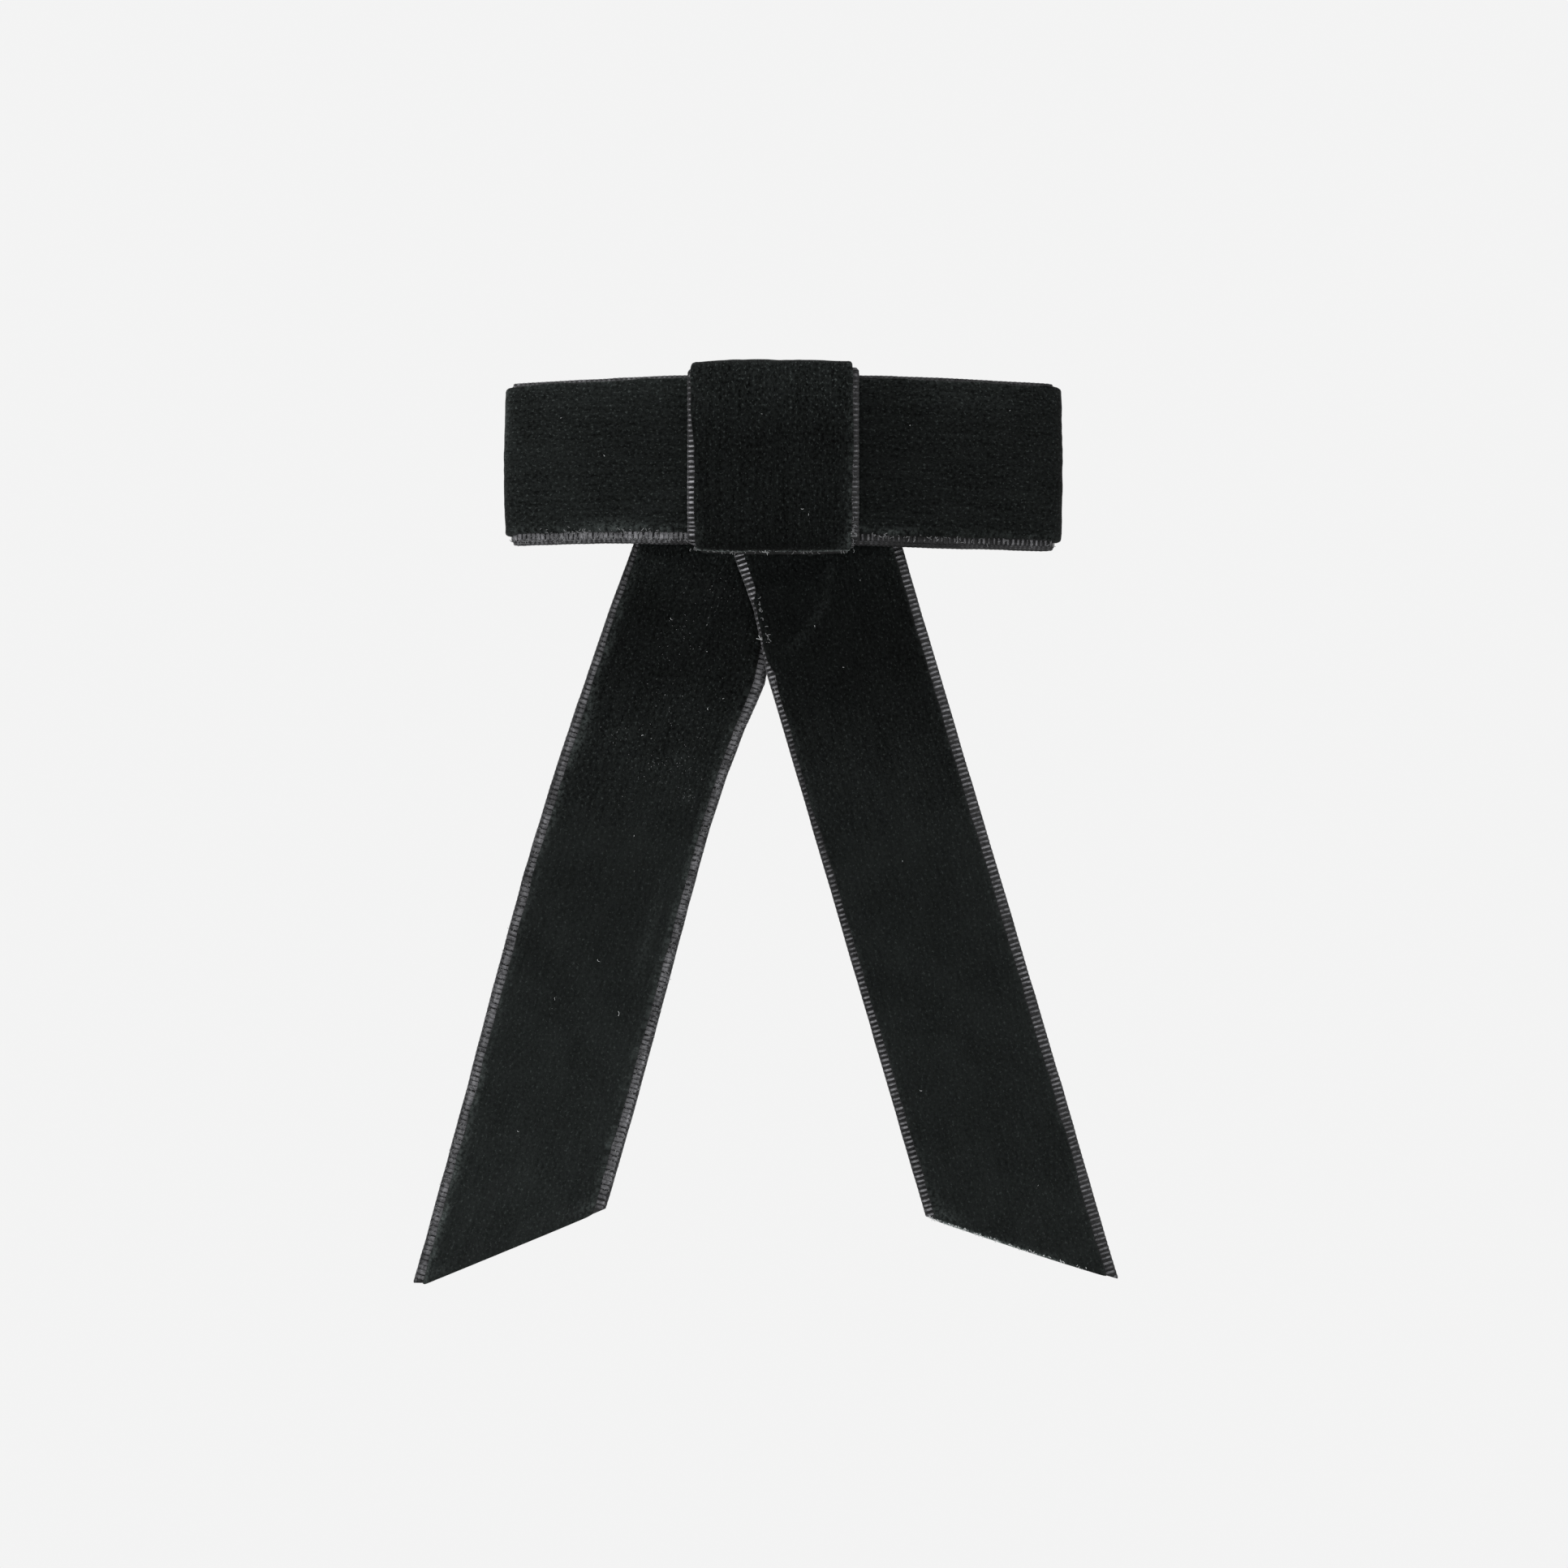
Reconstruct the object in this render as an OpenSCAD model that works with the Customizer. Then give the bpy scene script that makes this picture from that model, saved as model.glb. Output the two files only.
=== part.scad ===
// Hair bow of black velvet ribbon on a French barrette. Millimetres.
// The front faces -Y, +Z is up as worn, and the tails hang towards -Z.
// The origin is the middle of the gap for the hair, between the tension spring and the clasp bar.
// The loops, the band and the barrette plate all bend round one vertical axis behind the bow.

/* [Ribbon] */
// Width of the velvet ribbon, selvage to selvage
ribbon_w = 25; // [24:0.1:26]
// Thickness of the ribbon where its pile stands up
ribbon_t = 1.5; // [1.2:0.1:1.6]
// Thickness of the ribbon where it is pressed between other layers
pressed_t = 1; // [0.8:0.1:1.1]
// Diameter of the sewing thread
thread_d = 0.36; // [0.25:0.01:0.4]

/* [Loops] */
// Distance between the two folded ends of the loops
loop_len = 84.6; // [80:0.2:90]
// Thickness of a loop, front layer to back layer
loop_t = 5; // [4.8:0.1:5.6]
// Length of the lap where the loop ribbon's ends are sewn together
lap_len = 18; // [12:1:22]

/* [Centre band] */
// Height of the band round the loops
band_h = 28.6; // [28.2:0.1:29.4]
// Sideways place of the band's middle
band_x = -1.3; // [-2:0.1:2]

/* [Tails] */
// Angle of each tail from the vertical
tail_lean = 16.2; // [14:0.1:18]
// Length of each tail's outer edge below the middle of the bow
tail_outer_len = 132.5; // [110:0.5:140]
// Length of the left tail's inner edge
left_inner_len = 114; // [90:0.5:120]
// Length of the right tail's inner edge
right_inner_len = 115; // [90:0.5:120]
// Where the left tail's centre line crosses the middle height of the bow
left_tail_x = -7.1; // [-8:0.1:-6]
// Where the right tail's centre line crosses the middle height of the bow
right_tail_x = 1.5; // [0:0.1:3]
// Length of the tails above the middle height, behind the loops
tail_top_len = 9; // [8:0.1:9.4]

/* [Barrette] */
// Length of the barrette plate
plate_len = 70; // [69:0.5:73]
// Height of the barrette plate
plate_h = 9; // [8.8:0.1:9.6]
// Thickness of the barrette plate
plate_t = 0.8; // [0.6:0.1:1]
// Radius of the plate's front face
plate_r = 117; // [114:1:122]
// Gap for the hair between the tension spring and the clasp bar
hair_gap = 4.8; // [4.6:0.1:5]
// Height of the clasp bar
clasp_h = 5.5; // [5:0.1:5.6]
// Thickness of the clasp bar
clasp_t = 0.9; // [0.7:0.1:1]
// Diameter of the hinge pin
pin_d = 1.2; // [1:0.1:1.3]

/* [Hidden] */
$fn = 64;
VELVET = "#161817";
THREAD = "#1d1d1f";
GLUE = "#e6e2d6";
STEEL = "#b9bcc0";
SPRING_STEEL = "#c9ccd0";
far = 200;
sliver = 0.05;

// Layers from back to front, as the Y of each face on the middle plane
spring_t = 0.35;
spring_room = 3.8;
glue_t = 0.3;
clasp_front = hair_gap / 2;
spring_back = -hair_gap / 2;
plate_back = spring_back - spring_room;
plate_front = plate_back - plate_t;
left_root_back = plate_front - glue_t;
right_root_back = left_root_back - pressed_t;
band_back = right_root_back - pressed_t;
loop_back = band_back - 2 * pressed_t;
loop_front = loop_back - loop_t;
band_front = loop_front - ribbon_t;
tails_y = right_root_back;
arch_y = plate_front + plate_r;
loop_mid_r = arch_y - (loop_front + loop_back) / 2;
loop_end_a = asin((loop_len / 2 - loop_t / 2) / loop_mid_r);

// The tails swing about a line below the band
band_low = -band_h / 2;
swing_z = band_low - ribbon_t - 0.4;
root_low = swing_z + ribbon_t + 0.1;
band_corner_r = 2.4;
loop_slack = 0.1;

// Barrette fittings
plate_corner_r = 3;
sewing_hole_r = 0.9;
sewing_hole_x = 19;
clasp_r = 400;
pin_x = -33;
pin_y = clasp_front + clasp_t / 2 + clasp_r - sqrt(clasp_r * clasp_r - pin_x * pin_x);
pin_clearance = 0.05;
pin_press = 0.01;
barrel_r = pin_d / 2 + 0.8;
ear_r = barrel_r + 0.3;
ear_z = clasp_h / 2 + 0.3;
ear_t = 0.7;
pin_head_t = 0.3;
clasp_end_x = 34.4;
spring_half_len = 24;
spring_h = 4.4;
spring_bow = 0.8;
spring_r = (spring_half_len * spring_half_len + spring_bow * spring_bow) / (2 * spring_bow);
keeper_x = 22.8;
keeper_len = 1.2;
keeper_z = spring_h / 2 + 0.2;
keeper_t = 0.5;
latch_from_x = 29.2;
latch_to_x = 34.8;
latch_t = 0.6;
latch_h = 8.2;
cheek_x = 30;
cheek_len = 4.2;
cheek_top_y = 0.65;
arm_pivot_y = cheek_top_y + 0.1;
arm_end_y = 6;
rivet_x = 31.6;
rivet_r = 0.6;
rivet_head_r = 1.1;
rivet_head_t = 0.45;

function arch_radius(y) = arch_y - y;

// A block bent round the arch axis, between two depths, two sideways places and two heights
module arched(y_front, y_back, x_left, x_right, z_low, z_high) {
  r_mid = arch_radius((y_front + y_back) / 2);
  a_left = asin(x_left / r_mid);
  a_right = asin(x_right / r_mid);
  sweep_arch(a_left, a_right)
    translate([arch_radius(y_back), z_low])
      square([y_back - y_front, z_high - z_low]);
}

// A profile of radius and height swept round the arch axis
module sweep_arch(a_left, a_right) {
  translate([0, arch_y, 0])
    rotate([0, 0, a_left - 90])
      rotate_extrude(angle = a_right - a_left, $fn = 256)
        children();
}

// Children moved to a place on the arch, with their Y along the radius towards the back
module on_arch(x, y) {
  a = asin(x / arch_radius(y));
  translate([0, arch_y, 0])
    rotate([0, 0, a])
      translate([0, -arch_radius(y), 0])
        children();
}

// An outline of sideways place and height, extruded forwards from a depth
module upright(y_back, thick) {
  translate([0, y_back, 0])
    rotate([90, 0, 0])
      linear_extrude(thick)
        children();
}

module rounded_rect(x, y, w, h, r) {
  translate([x + r, y])
    square([w - 2 * r, h]);
  translate([x, y + r])
    square([w, h - 2 * r]);
  for (cx = [x + r, x + w - r], cy = [y + r, y + h - r])
    translate([cx, cy])
      circle(r);
}

// One folded end of the loops; side is 1 at the right and -1 at the left
module loop_fold(side) {
  rotate_to_end = side * loop_end_a;
  translate([0, arch_y, 0])
    rotate([0, 0, rotate_to_end])
      translate([0, -loop_mid_r, -ribbon_w / 2])
        intersection() {
          difference() {
            cylinder(r = loop_t / 2, h = ribbon_w);
            translate([0, 0, -1])
              cylinder(r = loop_t / 2 - ribbon_t, h = ribbon_w + 2);
          }
          translate([side > 0 ? 0 : -loop_t, -loop_t, 0])
            cube([loop_t, 2 * loop_t, ribbon_w]);
        }
}

module loop_layer(y_front) {
  sweep_arch(-loop_end_a, loop_end_a)
    translate([arch_radius(y_front + ribbon_t), -ribbon_w / 2])
      square([ribbon_t, ribbon_w]);
}

module loop_ribbon() {
  color(VELVET) {
    loop_layer(loop_front);
    loop_layer(loop_back - ribbon_t);
    loop_fold(1);
    loop_fold(-1);
    arched(loop_back - ribbon_t - pressed_t, loop_back - ribbon_t, -lap_len / 2, lap_len / 2,
           -ribbon_w / 2, ribbon_w / 2);
  }
}

module band_ribbon() {
  r_mid = arch_radius((band_front + band_back) / 2);
  a_left = asin((band_x - ribbon_w / 2) / r_mid);
  a_right = asin((band_x + ribbon_w / 2) / r_mid);
  hollow_h = ribbon_w + 2 * loop_slack;
  color(VELVET)
    sweep_arch(a_left, a_right)
      difference() {
        rounded_rect(arch_radius(band_back), band_low, band_back - band_front, band_h,
                     band_corner_r);
        translate([arch_radius(loop_back), -hollow_h / 2])
          square([loop_t, hollow_h]);
      }
}

// A tail's flat cut shape; side is 1 for the right tail and -1 for the left
module tail_outline(side, x, inner_len) {
  half = ribbon_w / 2;
  translate([x, 0])
    rotate(side * tail_lean)
      polygon([
        [-side * half, tail_top_len],
        [side * half, tail_top_len],
        [side * half, -tail_outer_len],
        [-side * half, -inner_len]
      ]);
}

// The hidden top of a tail, held between the band and the barrette
module tail_root(side, x, inner_len, y_back) {
  color(VELVET)
    intersection() {
      arched(y_back - pressed_t, y_back, -loop_len / 2, loop_len / 2, root_low, ribbon_w / 2);
      upright(y_back + far / 4, far / 2)
        tail_outline(side, x, inner_len);
    }
}

// The free part of a tail, below the line that it swings about
module hanging_tail(side, x, inner_len, y_back) {
  color(VELVET)
    upright(y_back, ribbon_t)
      intersection() {
        tail_outline(side, x, inner_len);
        translate([-far / 2, swing_z - far])
          square([far, far]);
      }
}

module left_tail_root() {
  tail_root(-1, left_tail_x, left_inner_len, left_root_back);
}

module right_tail_root() {
  tail_root(1, right_tail_x, right_inner_len, right_root_back);
}

module left_tail() {
  hanging_tail(-1, left_tail_x, left_inner_len, tails_y + ribbon_t);
}

module right_tail() {
  hanging_tail(1, right_tail_x, right_inner_len, tails_y);
}

// A stitch: a bar of thread on a surface, with two legs that go in towards -Y
module stitch(bar_len, leg_len) {
  r = thread_d / 2;
  translate([-bar_len / 2, r, 0])
    rotate([0, 90, 0])
      cylinder(r = r, h = bar_len);
  for (end = [-1, 1])
    translate([end * bar_len / 2, r, 0]) {
      sphere(r);
      rotate([90, 0, 0])
        cylinder(r = r, h = leg_len + r);
    }
}

// Stitches that close the lap inside the loops
module loop_stitches() {
  color(THREAD)
    for (x = [-lap_len / 2 + 1.5, lap_len / 2 - 1.5], z = [-8, -2.7, 2.7, 8])
      translate([0, 0, z])
        on_arch(x, loop_back - ribbon_t - pressed_t)
          mirror([0, 1, 0])
            stitch(2.2, 1.8);
}

// A row of stitches that joins the tops of the two tails
module tail_stitches() {
  color(THREAD)
    for (x = [-9:3:3])
      translate([0, 0, 5.6])
        on_arch(x, left_root_back)
          stitch(1.8, 1.6);
}

// Stitches over the barrette plate into the back of the left tail
module plate_stitches() {
  leg_z = plate_h / 2 + 0.4;
  color(THREAD)
    for (x = [-5.8:1.5:3.2])
      on_arch(x, plate_back)
        rotate([0, 90, 0])
          stitch(2 * leg_z, plate_t + glue_t + 0.8);
}

// Fabric glue between the barrette plate and the tails
module glue_layer() {
  color(GLUE)
    arched(left_root_back, plate_front, band_x - 11, band_x + 11, -4, 4);
}

// The two ears that carry the hinge pin
module hinge_ears() {
  for (z = [-ear_z - ear_t, ear_z])
    translate([0, 0, z])
      intersection() {
        linear_extrude(ear_t) {
          translate([pin_x, pin_y])
            circle(ear_r);
          translate([pin_x - ear_r, plate_back])
            square([2 * ear_r, pin_y - plate_back]);
        }
        inside_plate();
      }
}

// Everything behind the plate's back face
module inside_plate() {
  translate([0, arch_y, -far / 4])
    cylinder(r = arch_radius(plate_back) + sliver, h = far / 2, $fn = 256);
}

// Bridges that keep the ends of the tension spring on the plate
module spring_keepers() {
  bridge_y = spring_back - spring_bow + 0.25;
  for (side = [-1, 1]) {
    x = side > 0 ? keeper_x : -keeper_x - keeper_len;
    intersection() {
      for (z = [-keeper_z - keeper_t, keeper_z])
        translate([x, plate_back, z])
          cube([keeper_len, bridge_y + keeper_t - plate_back, keeper_t]);
      inside_plate();
    }
    translate([x, bridge_y, -keeper_z - keeper_t])
      cube([keeper_len, keeper_t, 2 * (keeper_z + keeper_t)]);
  }
}

module barrette_plate() {
  color(STEEL)
    difference() {
      union() {
        intersection() {
          arched(plate_front, plate_back, -plate_len / 2, plate_len / 2, -plate_h / 2, plate_h / 2);
          upright(far / 4, far / 2)
            rounded_rect(-plate_len / 2, -plate_h / 2, plate_len, plate_h, plate_corner_r);
        }
        hinge_ears();
        spring_keepers();
      }
      for (x = [-sewing_hole_x, sewing_hole_x])
        on_arch(x, plate_back)
          rotate([90, 0, 0])
            cylinder(r = sewing_hole_r, h = 4 * plate_t, center = true);
      on_arch(rivet_x, plate_back)
        rotate([90, 0, 0])
          cylinder(r = rivet_r, h = 4 * plate_t, center = true);
      translate([pin_x, pin_y, -plate_h])
        cylinder(r = pin_d / 2 - pin_press, h = 2 * plate_h);
    }
}

module hinge_pin() {
  pin_half = ear_z + ear_t;
  color(STEEL)
    translate([pin_x, pin_y, 0]) {
      cylinder(d = pin_d, h = 2 * pin_half, center = true);
      for (z = [-pin_half - pin_head_t, pin_half])
        translate([0, 0, z])
          cylinder(d = 1.5 * pin_d, h = pin_head_t);
    }
}

// The bar that closes behind the hair, with a rolled barrel at the hinge
module clasp_bar() {
  color(STEEL)
    difference() {
      union() {
        intersection() {
          translate([0, clasp_front + clasp_r, -clasp_h / 2])
            difference() {
              cylinder(r = clasp_r, h = clasp_h, $fn = 720);
              translate([0, 0, -1])
                cylinder(r = clasp_r - clasp_t, h = clasp_h + 2, $fn = 720);
            }
          upright(far / 4, far / 4)
            rounded_rect(pin_x, -clasp_h / 2, clasp_end_x - pin_x, clasp_h, clasp_h / 2 - sliver);
        }
        translate([pin_x, pin_y, -clasp_h / 2])
          cylinder(r = barrel_r, h = clasp_h);
      }
      translate([pin_x, pin_y, -clasp_h])
        cylinder(r = pin_d / 2 + pin_clearance, h = 2 * clasp_h);
    }
}

// Half of the bowed tension spring; side is 1 for the right half
module spring_half(side) {
  color(SPRING_STEEL)
    intersection() {
      translate([0, spring_back - spring_r, -spring_h / 2])
        difference() {
          cylinder(r = spring_r, h = spring_h, $fn = 720);
          translate([0, 0, -1])
            cylinder(r = spring_r - spring_t, h = spring_h + 2, $fn = 720);
        }
      translate([side > 0 ? 2 * sliver : -spring_half_len, -far / 4, -spring_h])
        cube([spring_half_len - 2 * sliver, far / 2, 2 * spring_h]);
    }
}

module spring_left_half() {
  spring_half(-1);
}

module spring_right_half() {
  spring_half(1);
}

// The latch's base on the plate, with a cheek above and below
module latch_frame() {
  color(STEEL)
    difference() {
      union() {
        arched(plate_back, plate_back + latch_t, latch_from_x, latch_to_x,
               -latch_h / 2, latch_h / 2);
        intersection() {
          for (z = [-latch_h / 2, latch_h / 2 - latch_t])
            translate([cheek_x, plate_back, z])
              cube([cheek_len, cheek_top_y - plate_back, latch_t]);
          translate([0, arch_y, -latch_h])
            cylinder(r = arch_radius(plate_back), h = 2 * latch_h, $fn = 256);
        }
      }
      on_arch(rivet_x, plate_back)
        rotate([90, 0, 0])
          cylinder(r = rivet_r, h = 4 * latch_t, center = true);
    }
}

module latch_rivet() {
  color(STEEL)
    on_arch(rivet_x, plate_front)
      rotate([-90, 0, 0]) {
        translate([0, 0, -rivet_head_t])
          cylinder(r = rivet_head_r, h = rivet_head_t);
        cylinder(r = rivet_r + pin_press, h = plate_t + latch_t);
        translate([0, 0, plate_t + latch_t])
          cylinder(r = rivet_head_r, h = rivet_head_t);
      }
}

// A sprung arm beside the clasp bar's tip, with a ridge behind the tip and a tab to pinch.
// The outline is of depth and height; side is 1 for the upper arm.
module latch_arm(side) {
  inner_z = latch_h / 2 - latch_t;
  outer_z = latch_h / 2;
  ridge_z = clasp_h / 2 + 0.2;
  ridge_y = arm_end_y - 1;
  tab_z = outer_z + 0.5;
  color(SPRING_STEEL)
    translate([cheek_x, 0, 0])
      rotate([90, 0, 90])
        linear_extrude(cheek_len)
          polygon([
            [arm_pivot_y, side * inner_z],
            [ridge_y, side * inner_z],
            [ridge_y + 0.2, side * ridge_z],
            [ridge_y + 0.6, side * ridge_z],
            [arm_end_y, side * inner_z],
            [arm_end_y, side * outer_z],
            [arm_pivot_y + latch_t, side * outer_z],
            [arm_pivot_y + latch_t, side * (tab_z + latch_t)],
            [-0.9, side * (tab_z + 2 * latch_t)],
            [-0.9, side * (tab_z + latch_t)],
            [arm_pivot_y, side * tab_z]
          ]);
}

module latch_arm_upper() {
  latch_arm(1);
}

module latch_arm_lower() {
  latch_arm(-1);
}

loop_ribbon();
band_ribbon();
left_tail_root();
right_tail_root();
left_tail();
right_tail();
loop_stitches();
tail_stitches();
plate_stitches();
glue_layer();
barrette_plate();
hinge_pin();
clasp_bar();
spring_left_half();
spring_right_half();
latch_frame();
latch_rivet();
latch_arm_upper();
latch_arm_lower();
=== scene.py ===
"""Black velvet hair bow on a French barrette: its looks, its light and its camera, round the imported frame."""

import math
import random

import bpy
import numpy as np
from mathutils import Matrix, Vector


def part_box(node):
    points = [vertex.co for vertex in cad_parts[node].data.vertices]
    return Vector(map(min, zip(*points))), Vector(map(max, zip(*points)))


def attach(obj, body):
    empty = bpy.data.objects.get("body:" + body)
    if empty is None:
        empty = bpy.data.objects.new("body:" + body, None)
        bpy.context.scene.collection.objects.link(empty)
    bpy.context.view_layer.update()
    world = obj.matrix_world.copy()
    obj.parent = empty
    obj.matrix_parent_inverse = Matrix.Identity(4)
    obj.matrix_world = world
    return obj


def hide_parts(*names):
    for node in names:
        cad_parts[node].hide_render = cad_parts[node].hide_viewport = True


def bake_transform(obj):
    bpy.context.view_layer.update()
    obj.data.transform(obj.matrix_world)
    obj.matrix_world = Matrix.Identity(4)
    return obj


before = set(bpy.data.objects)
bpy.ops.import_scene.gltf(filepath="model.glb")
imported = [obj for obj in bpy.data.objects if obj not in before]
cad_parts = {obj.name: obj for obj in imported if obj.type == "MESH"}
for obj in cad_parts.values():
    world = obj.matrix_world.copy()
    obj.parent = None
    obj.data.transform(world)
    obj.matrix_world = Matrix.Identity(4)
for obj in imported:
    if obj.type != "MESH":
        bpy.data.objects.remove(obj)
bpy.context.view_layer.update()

# Lengths are in millimetres until a mesh, a light or the camera is made
MM = 0.001


def face(node, side, axis):
    """Where a CAD node's low or high face is on an axis."""
    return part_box(node)[("low", "high").index(side)]["xyz".index(axis)] / MM


# Ribbon
RIBBON_W = 25.0
HALF_W = RIBBON_W / 2
GROUND_T = 0.34
PILE_T = 1.5
PRESSED_T = 1.0
RIB_PITCH = 0.765

# The layers bend round one upright axis behind the bow
ARCH_Y = 110.0
LOOP_FRONT = face("loop_ribbon", "low", "y")
LOOP_T = 5.0
LOOP_BACK = LOOP_FRONT + LOOP_T
LOOP_END_X = face("loop_ribbon", "high", "x")
LAP_HALF = 9.0
BAND_FRONT = face("band_ribbon", "low", "y")
BAND_X = (face("band_ribbon", "low", "x") + face("band_ribbon", "high", "x")) / 2
BAND_SPREAD = 1.024
BAND_HALF_H = face("band_ribbon", "high", "z") - PILE_T - 0.1
TAILS_Y = face("right_tail", "high", "y")
SWING_Z = face("right_tail", "high", "z")
PLATE_FRONT = face("barrette_plate", "low", "y")
PLATE_BACK = PLATE_FRONT + 0.8
LEFT_ROOT_BACK = PLATE_FRONT - 0.3
TAIL_LEAN = math.radians(16.2)
TAIL_TOP = -9.0


# ---------------- small helpers


def smooth(value, start, end):
    """0 before start, 1 after end, and a smooth rise between them."""
    t = np.clip((np.asarray(value, float) - start) / (end - start), 0, 1)
    return t * t * (3 - 2 * t)


def curve(places, values):
    """A function that goes straight from one value to the next between those places."""
    return lambda at: np.interp(at, places, values)


def rough(x, y, seed):
    """Smooth noise from -1 to 1, with one lump for each unit of x and y."""
    xi, yi = np.floor(x), np.floor(y)
    fx, fy = smooth(x - xi, 0, 1), smooth(y - yi, 0, 1)

    def corner(dx, dy):
        # The numbers here only scramble the places
        h = np.sin((xi + dx) * 127.1 + (yi + dy) * 311.7 + seed * 74.7) * 43758.5453
        return (h - np.floor(h)) * 2 - 1

    low = corner(0, 0) * (1 - fx) + corner(1, 0) * fx
    high = corner(0, 1) * (1 - fx) + corner(1, 1) * fx
    return low * (1 - fy) + high * fy


def bend_round(x, y, z, radius):
    """Flat places, with x measured along a circle of that radius, bent round the arch axis."""
    angle, reach = x / radius, ARCH_Y - y
    return np.stack([reach * np.sin(angle), ARCH_Y - reach * np.cos(angle), z], -1)


def unit(vectors):
    return vectors / np.linalg.norm(vectors, axis=1, keepdims=True)


def distances(line):
    """How far along a line each of its points is."""
    return np.r_[0, np.cumsum(np.linalg.norm(np.diff(line, axis=0), axis=1))]


def all_round(count):
    """That many angles, evenly round a circle."""
    return np.arange(count) * 2 * math.pi / count


def add_object(name, data):
    added = bpy.data.objects.new(name, data)
    bpy.context.scene.collection.objects.link(added)
    return added


def signed_volume(mesh):
    mesh.calc_loop_triangles()
    corners = np.zeros(len(mesh.loop_triangles) * 3, np.int32)
    mesh.loop_triangles.foreach_get("vertices", corners)
    places = np.zeros(len(mesh.vertices) * 3)
    mesh.vertices.foreach_get("co", places)
    a, b, c = places.reshape(-1, 3)[corners.reshape(-1, 3)].transpose(1, 0, 2)
    return float((a * np.cross(b, c)).sum())


def make_piece(name, points, faces, materials, face_material=None, uv=None, attributes=None, second_uv=None):
    """A mesh object from points in millimetres. Its faces are shaded smooth, with their normals outside.
    second_uv holds the places for the faces with the second material."""
    mesh = bpy.data.meshes.new(name)
    mesh.from_pydata((np.asarray(points) * MM).tolist(), [], faces)
    for material in materials:
        mesh.materials.append(material)
    if face_material is not None:
        mesh.polygons.foreach_set("material_index", np.asarray(face_material, np.int32))
    corner = np.zeros(len(mesh.loops), np.int32)
    mesh.loops.foreach_get("vertex_index", corner)
    if uv is not None:
        layer = mesh.uv_layers.new(name="ribbon")
        at_corners = np.asarray(uv, np.float32)[corner]
        if second_uv is not None:
            second = np.repeat(np.asarray(face_material), [len(polygon) for polygon in faces]) == 1
            at_corners[second] = np.asarray(second_uv, np.float32)[corner][second]
        layer.data.foreach_set("uv", at_corners.ravel())
    for key, values in (attributes or {}).items():
        mesh.attributes.new(key, "FLOAT", "POINT").data.foreach_set("value", np.asarray(values, np.float32))
    mesh.polygons.foreach_set("use_smooth", np.ones(len(mesh.polygons), bool))
    mesh.update()
    if signed_volume(mesh) < 0:
        mesh.flip_normals()
    return add_object(name, mesh)


def ride_bow(piece):
    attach(piece, "bow")


def ride_tails(piece):
    """Bakes the piece's transform into its mesh."""
    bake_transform(piece)


def ring_quads(rings, sides, first=0):
    """Quads between closed rings of points, one ring after another."""
    for i in range(rings - 1):
        a, b = first + i * sides, first + (i + 1) * sides
        for j in range(sides):
            k = (j + 1) % sides
            yield a + j, b + j, b + k, a + k


def tube_faces(rings, sides, first):
    """Faces of a tube, with a fan to one more point at each end. Points: the rings, then the two ends."""
    faces = list(ring_quads(rings, sides, first))
    tip, tail, last = first + rings * sides, first + rings * sides + 1, first + (rings - 1) * sides
    for j in range(sides):
        k = (j + 1) % sides
        faces += [(tip, first + j, first + k), (tail, last + k, last + j)]
    return faces


def line_frame(line):
    """Three unit vectors at each point of a line: along it, and two across it."""
    along = unit(np.gradient(line, axis=0))
    # Crossed with a slanting vector that no line here runs along
    side = unit(np.cross(along, np.array([0.31, 0.87, 0.39])))
    return along, side, np.cross(along, side)


def fibre_tube(line, radius, sides):
    """Points of a round tube along a line of points, with pointed ends."""
    line = np.asarray(line, float)
    along, side, up = line_frame(line)
    turn = all_round(sides)
    ring = np.cos(turn)[None, :, None] * side[:, None] + np.sin(turn)[None, :, None] * up[:, None]
    rings = line[:, None] + ring * radius
    point = radius * 0.6
    return np.concatenate([rings.reshape(-1, 3), [line[0] - along[0] * point, line[-1] + along[-1] * point]])


def tubes_piece(name, lines, radius, material, sides=6):
    """One piece made of many separate tubes, the short ones thinner."""
    points, faces, first = [], [], 0
    for line in lines:
        reach = np.linalg.norm(np.diff(line, axis=0), axis=1).sum()
        tube = fibre_tube(line, radius * min(1, 0.35 + 1.8 * reach), sides)
        points.append(tube)
        faces += tube_faces(len(line), sides, first)
        first += len(tube)
    return make_piece(name, np.concatenate(points), faces, [material])


# ---------------- materials


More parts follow.
